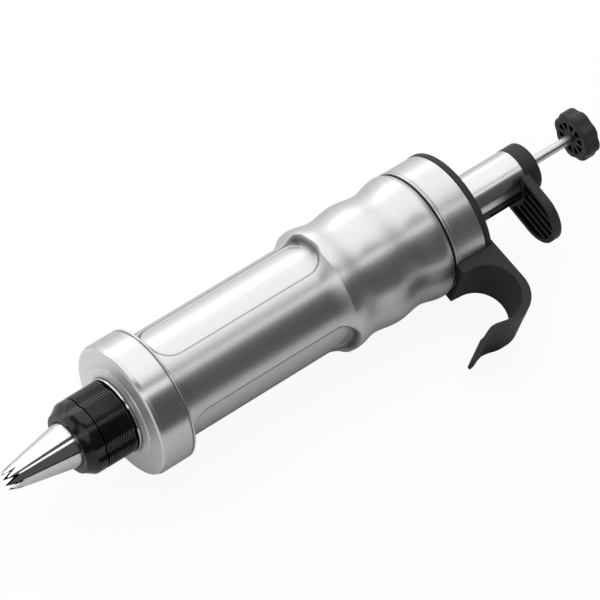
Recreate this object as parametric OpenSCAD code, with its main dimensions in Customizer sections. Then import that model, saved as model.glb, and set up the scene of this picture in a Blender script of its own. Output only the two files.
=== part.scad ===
// Pastry syringe, lying on its side as it rests on a table.
// Its own axis runs along +X, with the nozzle towards -X and the knob towards +X.
// The origin is on that axis, at the front mouth of the barrel.
// Each piece is drawn upright, with the axis along z and the hook towards +x, and then laid down.

/* [Barrel] */
// Bore that the piston runs in
bore_d = 45; // [40:0.5:52]
// Wall of the smooth inner tube
liner_wall = 0.7; // [0.5:0.1:1.2]
// Wall of the outer shell under a sunk panel
shell_wall = 0.95; // [0.6:0.05:1.5]
// Straight part of the barrel, from its front mouth
barrel_len = 92; // [70:1:130]

/* [Sunk panels] */
// Number of long panels round the barrel
panel_count = 3; // [2:1:4]
// How deep a panel is sunk
panel_depth = 0.8; // [0.3:0.1:1.5]
// Width of a panel
panel_w = 24.6; // [14:0.2:27]
// Radius of a panel's corners
panel_corner_r = 9; // [3:0.5:10]
// Bare barrel between the front cap and a panel
panel_gap = 2.8; // [1:0.2:8]
// How far a panel runs into the slope of the grip
panel_run = 8; // [4:0.2:9]

/* [Grip] */
// Length of the slope up to the first crest
slope_len = 8.4; // [7:0.1:14]
// Distance from crest to crest
crest_pitch = 24.5; // [20:0.5:30]
// Height of the first crest above the barrel
crest_1_h = 4; // [2.6:0.1:6]
// Height of the second crest above the barrel
crest_2_h = 3.6; // [2.6:0.1:6]
// Height of the third crest above the barrel
crest_3_h = 4.4; // [3.6:0.1:6]
// Height of the valleys above the barrel
valley_h = 2.2; // [1:0.1:2.5]
// Wall of the shell in the grip
grip_wall = 1; // [0.7:0.1:1.6]
// From the third crest to the end of the shell
tail_len = 3.2; // [2.4:0.1:6]
// Height of the shell's end above the barrel
tail_h = 3.2; // [2.6:0.1:3.5]

/* [Front cap] */
// Height of the cap's outside above the barrel
cap_h = 5.5; // [3.5:0.1:8]
// Length of the cap in front of the barrel's mouth
cap_nose_len = 4.5; // [3.5:0.1:8]
// Length of the cap over the barrel
cap_skirt_len = 11.8; // [8:0.1:18]
// Wall of the cap round its threaded ring
cap_wall = 1.6; // [1:0.1:2.4]
// Thickness of the cap's front wall
cap_front_t = 2.7; // [1.5:0.1:3.2]
// Width of the bevel round the cap's front rim
cap_bevel = 1.6; // [0.6:0.1:2.2]
// Height of the bead at the cap's rear edge
cap_bead = 0.45; // [0.2:0.05:0.8]
// Radius of the step on the cap's front face
cap_step_r = 22; // [19:0.5:24]
// Depth of that step
cap_step = 0.5; // [0.2:0.1:0.9]
// How far the middle of the cap's face stands forward
cap_dome = 1.6; // [0.8:0.1:3]
// Thickness of the seal ring in the cap
seal_t = 1.65; // [1:0.05:1.7]
// How far the cap travels when it is unscrewed
cap_travel = 12; // [12:0.5:20]

/* [Neck and nut] */
// Diameter of the polished neck
neck_d = 29.2; // [27.5:0.2:31]
// Length of the neck in front of the cap
neck_len = 1.2; // [1:0.1:4]
// Depth of the shoulder from the neck to its thread
neck_step = 1.3; // [0.6:0.1:2]
// Length of the neck's thread
neck_thread_len = 12.2; // [8:0.1:16]
// Bore of the neck
neck_bore_d = 19; // [12:0.5:22]
// Diameter of the nozzle nut
nut_d = 33.4; // [31:0.2:38]
// Length of the nozzle nut
nut_len = 24; // [21.5:0.2:30]
// Length of the bevel at the nut's front
nut_bevel_len = 4.7; // [2:0.1:6]
// Number of lobes on the nut
nut_lobes = 4; // [3:1:8]
// Depth of the dips between its lobes
nut_dip = 1.2; // [0.4:0.1:1.6]
// Radius of those dips
nut_dip_r = 7; // [4:0.5:12]
// Number of fine ribs round the nut
nut_ribs = 13; // [4:1:16]
// Depth of the grooves between the ribs
nut_rib_depth = 0.3; // [0.1:0.05:0.5]
// How far the nut travels when it is unscrewed
nut_travel = 12.5; // [12:0.5:16]

/* [Nozzle] */
// Diameter of the nozzle where it leaves the nut
nozzle_d = 20.9; // [18:0.1:23]
// Diameter of the nozzle at the roots of its teeth
nozzle_tip_d = 11; // [7:0.2:14]
// Length from the nut to the roots of the teeth
nozzle_len = 25.7; // [18:0.1:40]
// Length of the teeth
tooth_len = 5; // [3:0.1:8]
// Number of teeth
tooth_count = 10; // [5:1:14]
// Diameter of the ring that the teeth's points lie on
tooth_ring_d = 8.6; // [6:0.2:10]
// Wall of the teeth at their points
tooth_edge_t = 0.25; // [0.15:0.05:0.4]
// Wall of the nozzle
nozzle_wall = 0.7; // [0.4:0.05:1]
// Thickness of the nozzle's base flange
nozzle_flange_t = 1.2; // [0.8:0.1:1.4]
// Thickness of the washer behind the nozzle
washer_t = 0.8; // [0.5:0.1:1]

/* [Collar and rear cover] */
// Width of the dark groove in front of the collar
groove_w = 0.9; // [0.5:0.1:2]
// Length of the steel collar band
collar_len = 15.7; // [12:0.1:22]
// Height of the band above the barrel
collar_h = 4; // [3.8:0.1:6]
// Wall of the band
collar_wall = 1; // [0.6:0.05:1.4]
// Height of the bead at the band's front edge
collar_bead = 0.3; // [0.1:0.05:0.6]
// Thickness of the black end ring
ring_t = 3.2; // [2:0.1:5]
// How far the end ring stands out from the band
ring_lip = 0.2; // [0.1:0.1:1]
// Wall of the cover under the band
cover_wall = 2.7; // [1.6:0.1:4]
// Thickness of the cover's back wall
cover_back_t = 4; // [3.4:0.1:6]
// Thickness of the steel stop plate behind the piston
stop_t = 1.5; // [1:0.1:3]

/* [Finger hook] */
// Width of the hook
hook_w = 26.5; // [18:0.5:32]
// Diameter of the finger arch
arch_d = 27; // [22:0.5:34]
// Thickness of the saddle between the band and the arch
saddle_t = 2; // [1.5:0.1:5]
// From the end ring's rear face forward to the arch's centre
arch_inset = 15.3; // [13:0.1:19]
// Length of the saddle on the band
saddle_len = 16.5; // [12:0.1:18]
// Thickness of the hook's back
hook_back_t = 3.5; // [3:0.1:7]
// Thickness of the hook below the arch
hook_root_t = 2.3; // [2:0.1:4]
// Radius of the hook's outer corner
hook_back_r = 14; // [10:0.5:17]
// From the arch's centre forward to the tip of the lip
lip_len = 17.8; // [12:0.1:22]
// Thickness of the lip at its tip
lip_t = 1.5; // [1:0.1:3]
// How far the lip rises towards the barrel
lip_rise = 1.3; // [0:0.1:3]
// How far the tip flares out again
lip_flare = 2.5; // [0:0.1:5]

/* [Rear tube] */
// Diameter of the rear tube
rear_tube_d = 22.8; // [20:0.2:26]
// Wall of the rear tube
rear_tube_wall = 0.8; // [0.5:0.1:1.2]
// Length of the rear tube between the end ring and the end cap
rear_tube_len = 35.2; // [32:0.2:50]
// Length of the tube held inside the rear cover
socket_len = 12.4; // [8:0.2:14]
// Width of the slot in the tube's underside
slot_w = 10; // [6:0.2:12]
// Wall of the guide housing round its chamber
guide_wall = 2.85; // [2:0.05:3.4]
// Width of the slit that the trigger's web runs in
slit_w = 3.4; // [2.6:0.1:4.5]
// Length of the end cap
end_cap_len = 8.3; // [7:0.1:14]
// Wall of the end cap
end_cap_wall = 1; // [0.8:0.1:2]
// Thickness of the end cap's back wall
end_cap_back_t = 2.5; // [1.8:0.1:4]
// Radius of the end cap's rounded rear edge
end_cap_round = 1.6; // [1:0.1:3]

/* [Trigger] */
// Width of the thumb blade
trigger_w = 26.3; // [24:0.1:30]
// Thickness of the thumb blade
trigger_t = 3.9; // [3.4:0.1:6]
// How far the blade reaches from the syringe's axis
trigger_reach = 34.9; // [28:0.1:45]
// How far the blade's horns start below the axis
trigger_top = 8; // [5:0.2:9]
// Depth of the recess in the blade's front
trigger_recess = 2; // [0.8:0.1:2.6]
// Width of the rim round that recess
trigger_rim = 2; // [1.2:0.1:4]
// Number of ribs in the recess
trigger_ribs = 4; // [2:1:6]
// Width of a rib
trigger_rib_w = 1.3; // [0.8:0.1:2]
// How far the trigger slides
trigger_travel = 14; // [6:0.5:16]
// Length of the carriage inside the guide
carriage_len = 7; // [5.5:0.1:9]
// Diameter of the pin that holds the blade to the carriage
trigger_pin_d = 2; // [1.5:0.1:2.4]

/* [Plates and springs] */
// Thickness of the grip plate
grip_t = 1.6; // [1:0.1:2]
// Angle that the grip plate tilts by
grip_tilt = 4; // [2:0.5:5]
// Thickness of the lock plate
lock_t = 1.2; // [0.8:0.1:1.6]
// Angle that the lock plate rests at
lock_tilt = 7; // [5:0.5:8]
// Wire of the return spring
return_wire_d = 0.9; // [0.6:0.1:1.1]
// Coils of the return spring
return_coils = 6; // [4:1:6]
// Wire of the lock spring
lock_wire_d = 0.5; // [0.3:0.1:0.6]
// Coils of the lock spring
lock_coils = 2; // [1:1:2]

/* [Rod and knob] */
// Diameter of the rod
rod_d = 4.2; // [3.4:0.1:5]
// Rod that shows between the end cap and the knob
rod_show = 25.6; // [25:0.2:60]
// Diameter of the knob over its lobes
knob_d = 23.4; // [20:0.2:30]
// Thickness of the knob
knob_t = 7.7; // [6:0.1:12]
// Number of lobes round the knob
knob_lobes = 8; // [5:1:12]
// Radius of the dips between the knob's lobes
knob_dip_r = 4; // [2:0.5:6]
// Depth of those dips
knob_dip = 1.1; // [0.4:0.1:2]
// Number of pockets in the knob's face
knob_pockets = 10; // [6:1:12]
// Depth of the pockets
knob_pocket_depth = 4.8; // [2:0.1:5]
// Width of the spokes between the pockets
knob_spoke_w = 1; // [0.7:0.1:1.4]
// Width of the knob's rim outside the pockets
knob_rim_w = 3.2; // [2.6:0.1:4.5]
// Diameter of the knob's hub
knob_hub_d = 8.4; // [8:0.2:10]
// Diameter of the threaded insert in the knob
insert_d = 6.4; // [5.8:0.1:7]

/* [Piston] */
// From the barrel's mouth to the piston's front
piston_setback = 25; // [25:0.5:60]
// How far the plunger can still be pushed forward
push_travel = 24; // [10:0.5:24]
// Thickness of each piston plate
piston_plate_t = 3.2; // [2.6:0.1:5]
// Thickness of the piston seal
piston_seal_t = 5.5; // [4:0.1:8]
// Gap between the piston plates and the bore
piston_gap = 0.5; // [0.35:0.05:1]
// Number of screws that hold the piston plates together
piston_screw_count = 3; // [2:1:6]

/* [Fits] */
// Radial clearance of a part that slides or turns on another
running_fit = 0.05; // [0.02:0.01:0.09]
// Radial clearance of a part that is pressed or fixed in another
close_fit = 0.05; // [0.02:0.01:0.1]
// Gap left round loose parts that move past each other
loose_gap = 0.3; // [0.2:0.05:0.4]
// Gap between flat faces that meet
face_gap = 0.1; // [0.05:0.01:0.2]

/* [Rest] */
// How far the hook points below level when the syringe lies down
hook_droop = 16; // [10:0.5:22]

/* [Hidden] */

// Sides of turned pieces and of small round ones
$fn = 96;
fine_fn = 40;
// Overrun of every cut
cut = 1;
// A length past the whole syringe, for cuts that go right through
through = 200;

// Barrel
bore_r = bore_d / 2;
liner_r = bore_r + liner_wall;
shell_bore_r = liner_r + close_fit;
barrel_r = shell_bore_r + shell_wall + panel_depth;
crest_1_z = barrel_len + slope_len;
crest_3_z = crest_1_z + 2 * crest_pitch;
shell_end_z = crest_3_z + tail_len;
panel_start_z = cap_skirt_len + panel_gap;
panel_end_z = barrel_len + panel_run;
wave_steps = 8;
// The grip's outline from one height to the next: where, and how high above the barrel
grip_knots = [[barrel_len, 0], [crest_1_z, crest_1_h],
    [crest_1_z + crest_pitch / 2, valley_h], [crest_1_z + crest_pitch, crest_2_h],
    [crest_1_z + 3 * crest_pitch / 2, valley_h], [crest_3_z, crest_3_h]];

// Rear cover and stop plate
spigot_len = 1;
stop_z = shell_end_z - stop_t - face_gap - spigot_len;
liner_end_z = stop_z - face_gap;
shell_end_r = barrel_r + tail_h;
spigot_r = shell_end_r - grip_wall - close_fit;
stop_r = spigot_r;
collar_z = shell_end_z + groove_w;
collar_r = barrel_r + collar_h;
collar_bore_r = collar_r - collar_wall;
cover_r = collar_bore_r - close_fit;
cover_bore_r = cover_r - cover_wall;
ring_z = collar_z + collar_len;
ring_r = collar_r + ring_lip;
cover_end_z = ring_z + ring_t;
cover_back_z = cover_end_z - cover_back_t;
cover_front_z = shell_end_z - spigot_len;
stop_screw_count = 3;
stop_screw_r = 1.5;
stop_screw_head_r = 2.7;
stop_screw_len = 9;
pillar_r = 3.2;
pillar_wall_gap = 1;
pillar_ring_r = cover_bore_r - pillar_r - pillar_wall_gap;
bush_r = 5;
bush_flange_r = 6.5;
bush_flange_t = 1.2;
bush_len = 5;

// Finger hook
lip_steps = 12;
foot_taper = 0.4;
hook_lean = 1;
hook_shoulder_drop = 7.7;
hook_shoulder_x = ring_r - hook_shoulder_drop;
rise_share = 0.5;

// Rear tube and guide
rear_tube_r = rear_tube_d / 2;
rear_tube_bore_r = rear_tube_r - rear_tube_wall;
socket_r = rear_tube_r + close_fit;
socket_wall = 3;
socket_floor_t = 2;
tube_start_z = cover_end_z - socket_len;
tube_end_z = cover_end_z + rear_tube_len;
guide_r = rear_tube_bore_r - close_fit;
chamber_r = guide_r - guide_wall;
end_cap_z = tube_end_z + face_gap;
end_cap_end_z = end_cap_z + end_cap_len;
end_cap_r = guide_r + close_fit + end_cap_wall;
guide_end_z = end_cap_end_z - end_cap_back_t - face_gap;
divider_t = 1;
rod_r = rod_d / 2;
rod_hole_r = rod_r + loose_gap;
guide_floor_t = 1.8;
chamber_z = cover_end_z + guide_floor_t;
end_bush_r = 3.6;

// Trigger, at rest against the end cap
trigger_back_z = end_cap_z - loose_gap;
trigger_z = trigger_back_z - trigger_t;
saddle_bore_r = rear_tube_r + loose_gap;
web_w = slit_w - 2 * loose_gap;
web_inset = 0.3;
web_end_z = trigger_back_z - divider_t - web_inset;
web_z = trigger_z + web_inset;
carriage_r = chamber_r - loose_gap;
carriage_end_z = web_end_z;
carriage_z = carriage_end_z - carriage_len;
divider_z = carriage_end_z + loose_gap;
web_foot_len = 5.5;
web_foot_z = web_end_z - web_foot_len;
web_foot_x = rear_tube_r - web_inset;
pin_r = trigger_pin_d / 2;
pin_cover = 0.75;
pin_x = carriage_r - pin_cover - pin_r;
pin_half_len = sqrt(pow(carriage_r, 2) - pow(pin_x + pin_r, 2)) - close_fit;
web_over_pin = 0.42;
web_top_r = pin_x - pin_r - web_over_pin;
pin_z = (web_foot_z + web_end_z) / 2;
blade_r = trigger_w / 2;
blade_round_x = trigger_reach - blade_r;
rib_pitch = (trigger_w - 2 * trigger_rim) / (trigger_ribs + 1);
slit_z = web_foot_z - trigger_travel - loose_gap;

// Plates and springs
plate_gap = 0.2;
push_pad_h = 1.2;
push_pad_x = 4.4;
coil_rings = 8;
wire_sides = 6;
grip_z = carriage_z - push_pad_h - face_gap - grip_t;
grip_r = carriage_r;
plate_hole_gap = 0.22;
plate_hole_r = rod_r + plate_hole_gap;
return_r_share = 0.72;
return_r = return_r_share * chamber_r;
lock_r = chamber_r - loose_gap;
lock_chamber_z = divider_z + divider_t;
lock_pivot_z = guide_end_z - lock_t - 2 * lock_r * sin(lock_tilt) - plate_gap;
lock_hole_gap = 0.2;
lock_hole_r = (rod_r + lock_hole_gap + lock_t * sin(lock_tilt) / 2) / cos(lock_tilt);
lock_spring_r = lock_hole_r + lock_wire_d;
ledge_depth = 1.4;
// The hole's centre, so that it stays on the rod while the plate is tilted about its edge
lock_hole_shift = lock_r / cos(lock_tilt) - lock_r + lock_t * tan(lock_tilt) / 2;

// Plunger
knob_z = end_cap_end_z + rod_show;
knob_r = knob_d / 2;
knob_hub_r = knob_hub_d / 2;
knob_back_t = 1.6;
knob_bore_len = knob_t - knob_back_t;
knob_round = 1;
insert_r = insert_d / 2;
piston_plate_r = bore_r - piston_gap;
piston_seal_r = bore_r - running_fit;
seal_z = piston_setback + piston_plate_t;
piston_rear_z = seal_z + piston_seal_t;
piston_end_z = piston_rear_z + piston_plate_t;
seal_groove_depth = 1.2;
seal_web_share = 0.62;
hub_r = 9;
rod_flange_r = 4;
rod_flange_t = 2;
piston_dish = 1.2;
piston_screw_r = 1.25;
piston_screw_head_r = 2.2;
piston_screw_head_t = 1.2;
screw_bite = 1.2;
piston_screw_ring_r = 6.2;

// Front cap, neck, nut and nozzle
cap_r = barrel_r + cap_h;
mouth_ring_r = cap_r - cap_wall;
cap_bore_r = mouth_ring_r + loose_gap;
cap_front_z = -cap_nose_len;
cap_inner_z = cap_front_z + cap_front_t;
neck_r = neck_d / 2;
cap_hole_r = neck_r - neck_step;
cap_face_z = cap_front_z - cap_dome;
face_slope_share = 0.3;
mouth_ring_end_z = cap_skirt_len - 2 * cap_bead;
neck_bevel = 0.6;
neck_thread_r = neck_r - neck_step;
neck_front_z = cap_face_z - neck_len;
neck_end_z = neck_front_z - neck_thread_len;
neck_flange_w = 2.6;
neck_flange_t = 1.2;
neck_bore_r = neck_bore_d / 2;
seal_in_r = bore_r + close_fit;
washer_z = neck_end_z - face_gap - washer_t;
flange_z = washer_z - face_gap - nozzle_flange_t;
nut_r = nut_d / 2;
nut_bore_r = neck_thread_r + loose_gap;
nut_end_z = neck_front_z - loose_gap;
nut_z = nut_end_z - nut_len;
nut_lip_w = 3.1;
nut_front_r = nozzle_d / 2 + nut_lip_w;
nut_edge = 0.5;
nut_phase = 16;
nozzle_r = nozzle_d / 2;
nozzle_tip_r = nozzle_tip_d / 2;
nozzle_root_z = nut_z - nozzle_len;
nozzle_slope = (nozzle_r - nozzle_tip_r) / nozzle_len;
nozzle_base_r = nozzle_r + nozzle_slope * (flange_z - nut_z);
flange_r = nut_bore_r - face_gap;
nozzle_tip_z = nozzle_root_z - tooth_len;
tooth_ring_r = tooth_ring_d / 2;
rib_margin = 4.2;
rib_edge = 1.2;
rib_start_z = nut_z + nut_bevel_len + rib_margin;
rib_len = nut_end_z - rib_start_z - rib_edge;
rib_groove_w_share = 0.5;
notch_share = 0.94;
notch_run = 0.4;

// Lays a piece down: its axis along +X, its hook nearly level towards -Y
module lay() { rotate([hook_droop - 90, 0, 0]) rotate([0, 90, 0]) children(); }

// A turned piece from its half outline of [radius, place along the axis]
module turned(outline) { rotate_extrude() polygon(outline); }

// A plain ring between two places along the axis
module ring(outer_r, inner_r, start_z, end_z) {
    translate([0, 0, start_z]) difference() {
        cylinder(r = outer_r, h = end_z - start_z);
        translate([0, 0, -cut]) cylinder(r = inner_r, h = end_z - start_z + 2 * cut);
    }
}

// A plain round bar between two places along the axis
module bar(r, start_z, end_z) {
    translate([0, 0, start_z]) cylinder(r = r, h = end_z - start_z);
}

// Points along an arc in the plane of an outline
function arc(centre, r, from, to, steps) = [for (i = [0:steps])
    let (a = from + (to - from) * i / steps) centre + r * [cos(a), sin(a)]];

// A smooth rise from 0 to 1
function ease(t) = (1 - cos(180 * t)) / 2;

// Outline of the grip, from the straight barrel to the third crest, moved in by a depth
function grip_outline(depth) = [for (k = [0:len(grip_knots) - 2]) for (i = [0:wave_steps - 1])
    let (a = grip_knots[k], b = grip_knots[k + 1], t = i / wave_steps)
    [barrel_r + a[1] + (b[1] - a[1]) * ease(t) - depth, a[0] + (b[0] - a[0]) * t]];

// The end of the grip, from the third crest to the shell's end
function tail_outline(depth) = [for (i = [0:wave_steps]) let (t = i / wave_steps)
    [barrel_r + crest_3_h + (tail_h - crest_3_h) * (1 - cos(90 * t)) - depth,
        crest_3_z + tail_len * t]];

function reversed(list) = [for (i = [len(list) - 1:-1:0]) list[i]];

// The shell's inside in the grip, behind the ends of the sunk panels
function inner_wave() = [for (p = grip_outline(grip_wall)) if (p[1] > panel_end_z + grip_wall) p];

module barrel_shell() {
    color("silver") lay() difference() {
        turned(concat([[shell_bore_r, 0], [barrel_r, 0]],
            grip_outline(0), tail_outline(0),
            reversed(tail_outline(grip_wall)), reversed(inner_wave()),
            [[shell_bore_r, panel_end_z + grip_wall]]));
        for (i = [0:panel_count - 1]) rotate(360 * i / panel_count) sunk_panel();
    }
}

// The space of one sunk panel, with a floor that follows the barrel
module sunk_panel() {
    floor_r = barrel_r - panel_depth;
    corner_y = panel_w / 2 - panel_corner_r;
    difference() {
        union() {
            panel_block(floor_r, panel_start_z, panel_end_z, corner_y);
            panel_block(floor_r, panel_start_z + panel_corner_r,
                panel_end_z - panel_corner_r, panel_w / 2);
            for (z = [panel_start_z + panel_corner_r, panel_end_z - panel_corner_r])
                for (y = [-corner_y, corner_y]) translate([0, y, z])
                    rotate([0, 90, 0]) cylinder(r = panel_corner_r, h = barrel_r + cap_h);
        }
        bar(floor_r, -cut, shell_end_z);
    }
}

module panel_block(floor_r, start_z, end_z, half_w) {
    translate([0, -half_w, start_z]) cube([floor_r + cap_h, 2 * half_w, end_z - start_z]);
}

// Ring round the barrel's mouth that the cap screws onto
module mouth_ring() {
    color("silver") lay() ring(mouth_ring_r, barrel_r + close_fit, 0, mouth_ring_end_z);
}

module barrel_liner() { color("gainsboro") lay() ring(liner_r, bore_r, 0, liner_end_z); }

module stop_plate() {
    color("silver") lay() difference() {
        bar(stop_r, stop_z, stop_z + stop_t);
        bar(bush_r + close_fit, stop_z - cut, stop_z + stop_t + cut);
        stop_screws(stop_screw_r + close_fit, stop_screw_head_r + close_fit);
    }
}

// The screws of the stop plate, or the holes that they pass through
module stop_screws(shank_r, head_r) {
    for (i = [0:stop_screw_count - 1]) rotate(60 + 360 * i / stop_screw_count)
        translate([pillar_ring_r, 0, stop_z]) {
            cylinder(r = shank_r, h = stop_screw_len, $fn = fine_fn);
            cylinder(r1 = head_r, r2 = shank_r, h = head_r - shank_r, $fn = fine_fn);
        }
}

module cover_screws() { color("darkgray") lay() stop_screws(stop_screw_r, stop_screw_head_r); }

module stop_bush() {
    color("dimgray") lay() difference() {
        union() {
            bar(bush_r, stop_z, stop_z + bush_len);
            bar(bush_flange_r, stop_z + stop_t + face_gap,
                stop_z + stop_t + face_gap + bush_flange_t);
        }
        bar(rod_r + running_fit, stop_z - cut, stop_z + bush_len + cut);
    }
}

module collar_band() {
    bead_z = collar_z + collar_bead;
    color("silver") lay() union() {
        ring(collar_r, collar_bore_r, collar_z, ring_z - face_gap);
        translate([0, 0, bead_z]) rotate_extrude()
            translate([collar_r, 0]) circle(r = collar_bead, $fn = fine_fn);
    }
}

module rear_cover() {
    color([0.13, 0.13, 0.13]) lay() difference() {
        union() {
            turned([[cover_bore_r, cover_front_z], [spigot_r, cover_front_z],
                [spigot_r, shell_end_z + face_gap], [cover_r, shell_end_z + face_gap],
                [cover_r, ring_z], [ring_r, ring_z], [ring_r, cover_end_z],
                [socket_r, cover_end_z], [socket_r, tube_start_z - face_gap],
                [chamber_r, tube_start_z - face_gap],
                [chamber_r, tube_start_z - face_gap - socket_floor_t],
                [socket_r + socket_wall, tube_start_z - face_gap - socket_floor_t],
                [socket_r + socket_wall, cover_back_z], [cover_bore_r, cover_back_z]]);
            for (i = [0:stop_screw_count - 1]) rotate(60 + 360 * i / stop_screw_count)
                translate([pillar_ring_r, 0, 0])
                    bar(pillar_r, stop_z + stop_t + face_gap, cover_back_z + cut);
            hook();
        }
        stop_screws(stop_screw_r + close_fit, stop_screw_r + close_fit);
    }
}

// Finger hook: a saddle on the band, the arch, and a lip that flares at its tip
module hook() {
    difference() {
        rotate([90, 0, 0]) linear_extrude(height = hook_w, center = true)
            polygon(hook_outline());
        bar(collar_r + face_gap, 0, ring_z);
    }
}

// Outline of the hook seen from the side: [from the axis, along the axis]
function hook_outline() =
    let (arch_r = arch_d / 2,
        arch_c = [collar_r + saddle_t + arch_r, cover_end_z - arch_inset],
        outer_c = arch_c + [arch_r + hook_root_t, arch_r + hook_back_t]
            - [hook_back_r, hook_back_r],
        tip_z = arch_c[1] - lip_len,
        inner_x = arch_c[0] + arch_r,
        foot_z = cover_end_z - ring_t - saddle_len,
        root_x = barrel_r)
    concat([[root_x, foot_z], [arch_c[0] - arch_r - foot_taper, foot_z]],
        arc(arch_c, arch_r, 180, 0, 24),
        [for (i = [1:lip_steps]) lip_point(inner_x, arch_c[1], tip_z, i / lip_steps)],
        [[inner_x - lip_rise + lip_flare + lip_t, tip_z]],
        [for (i = [lip_steps - 1:-1:1]) let (t = i / lip_steps)
            lip_point(inner_x, arch_c[1], tip_z, t)
                + [hook_root_t + (lip_t - hook_root_t) * t, 0]],
        arc(outer_c, hook_back_r, 0, 90, 16),
        [[hook_shoulder_x, outer_c[1] + hook_back_r - hook_lean],
            [hook_shoulder_x, cover_back_z]]);

// A point on the inside of the lip, at a share of the way from the arch to the tip
function lip_point(x, from_z, to_z, t) = [t < rise_share
    ? x - lip_rise * ease(t / rise_share)
    : x - lip_rise + lip_flare * ease((t - rise_share) / (1 - rise_share)),
    from_z + (to_z - from_z) * t];

module rear_tube() {
    color("silver") lay() difference() {
        ring(rear_tube_r, rear_tube_bore_r, tube_start_z, tube_end_z);
        translate([0, -slot_w / 2, cover_end_z])
            cube([rear_tube_d, slot_w, rear_tube_len + cut]);
    }
}

// Guide housing: a chamber for the trigger's works, and a rail that fills the tube's slot
module guide_housing() {
    rail_w = slot_w - 2 * close_fit;
    color([0.08, 0.08, 0.08]) lay() difference() {
        union() {
            bar(guide_r, tube_start_z, guide_end_z);
            intersection() {
                bar(rear_tube_r, cover_end_z + face_gap, tube_end_z - face_gap);
                translate([0, -rail_w / 2, cover_end_z])
                    cube([rear_tube_d, rail_w, rear_tube_len]);
            }
        }
        bar(rod_hole_r, tube_start_z - cut, guide_end_z + cut);
        bar(chamber_r, chamber_z, divider_z);
        difference() {
            bar(chamber_r, lock_chamber_z, guide_end_z + cut);
            lock_ledge();
        }
        translate([0, -slit_w / 2, slit_z])
            cube([rear_tube_d, slit_w, divider_z - slit_z]);
    }
}

// The ledge behind one edge of the lock plate, that it tilts against
module lock_ledge() {
    ledge_z = lock_pivot_z + lock_t + 2 * plate_gap;
    translate([-chamber_r - cut, -chamber_r, ledge_z])
        cube([ledge_depth + cut, 2 * chamber_r, guide_end_z - ledge_z + 2 * cut]);
}

module end_cap() {
    color([0.14, 0.14, 0.14]) lay() turned(concat(
        [[guide_r + close_fit, end_cap_z], [end_cap_r, end_cap_z]],
        arc([end_cap_r - end_cap_round, end_cap_end_z - end_cap_round], end_cap_round, 0, 90, 8),
        [[end_bush_r + close_fit, end_cap_end_z],
            [end_bush_r + close_fit, end_cap_end_z - end_cap_back_t],
            [guide_r + close_fit, end_cap_end_z - end_cap_back_t]]));
}

module end_bush() {
    color("dimgray") lay()
        ring(end_bush_r, rod_r + running_fit, end_cap_end_z - end_cap_back_t, end_cap_end_z);
}

// Thumb trigger: a recessed blade astride the tube, and the web that goes in through the slit
module trigger() {
    color([0.1, 0.1, 0.1]) lay() difference() {
        union() {
            difference() {
                blade(0, trigger_z, trigger_back_z);
                difference() {
                    blade(trigger_rim, trigger_z - cut, trigger_z + trigger_recess);
                    bar(saddle_bore_r + trigger_rim, trigger_z - 2 * cut, trigger_back_z);
                    trigger_rib_bars();
                }
                bar(saddle_bore_r, trigger_z - cut, trigger_back_z + cut);
            }
            web_block(saddle_bore_r + trigger_rim, web_z);
            web_block(web_foot_x, web_foot_z);
        }
        cross_pin(pin_r + close_fit, carriage_r);
    }
}

// Ribs along the recess in the blade
module trigger_rib_bars() {
    for (i = [1:trigger_ribs])
        translate([trigger_top, (i - (trigger_ribs + 1) / 2) * rib_pitch - trigger_rib_w / 2,
            trigger_z])
            cube([trigger_reach, trigger_rib_w, trigger_recess]);
}

// Part of the web, out to a distance from the axis
module web_block(reach, start_z) {
    translate([web_top_r, -web_w / 2, start_z])
        cube([reach - web_top_r, web_w, web_end_z - start_z]);
}

// The blade's outline, moved in by a margin, between two places along the axis
module blade(margin, start_z, end_z) {
    bar_h = end_z - start_z;
    translate([blade_round_x, 0, start_z]) cylinder(r = blade_r - margin, h = bar_h);
    translate([trigger_top + margin, -blade_r + margin, start_z])
        cube([blade_round_x - trigger_top - margin, 2 * (blade_r - margin), bar_h]);
}

module cross_pin(r, half_len) {
    translate([pin_x, 0, pin_z]) rotate([90, 0, 0])
        cylinder(r = r, h = 2 * half_len, center = true, $fn = fine_fn);
}

module trigger_pin() { color("silver") lay() cross_pin(pin_r, pin_half_len); }

// Carriage inside the guide, with a pad that pushes one edge of the grip plate
module trigger_carriage() {
    color("dimgray") lay() difference() {
        union() {
            bar(carriage_r, carriage_z, carriage_end_z);
            intersection() {
                bar(carriage_r, carriage_z - push_pad_h, carriage_end_z);
                translate([push_pad_x, -carriage_r, carriage_z - push_pad_h])
                    cube([carriage_r, 2 * carriage_r, carriage_len]);
            }
        }
        bar(rod_hole_r, carriage_z - cut, carriage_end_z + cut);
        translate([web_top_r - close_fit, -web_w / 2 - close_fit, web_foot_z - close_fit])
            cube([carriage_r, web_w + 2 * close_fit, web_foot_len + cut]);
        cross_pin(pin_r + close_fit, carriage_r);
    }
}

// Grip plate: square to the rod at rest, tilts and jams on it when the carriage pushes
module grip_plate() {
    color("darkgray") lay() ring(grip_r, plate_hole_r, grip_z, grip_z + grip_t);
}

// Lock plate: tilted on the rod at rest, so that the rod can't go back
module lock_plate() {
    color("darkgray") lay()
        translate([-lock_r, 0, lock_pivot_z]) rotate([0, -lock_tilt, 0])
            translate([lock_r, 0, 0]) difference() {
                cylinder(r = lock_r, h = lock_t);
                translate([lock_hole_shift, 0, -cut]) cylinder(r = lock_hole_r, h = lock_t + 2 * cut);
            }
}

// Points along a coil, from one place along the axis to the other
function coil_path(r, wire_r, start_z, end_z, coils) = [for (i = [0:coils * coil_rings])
    let (t = i / (coils * coil_rings), a = 360 * coils * t)
    [r * cos(a), r * sin(a), start_z + wire_r + (end_z - start_z - 2 * wire_r) * t]];

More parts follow.
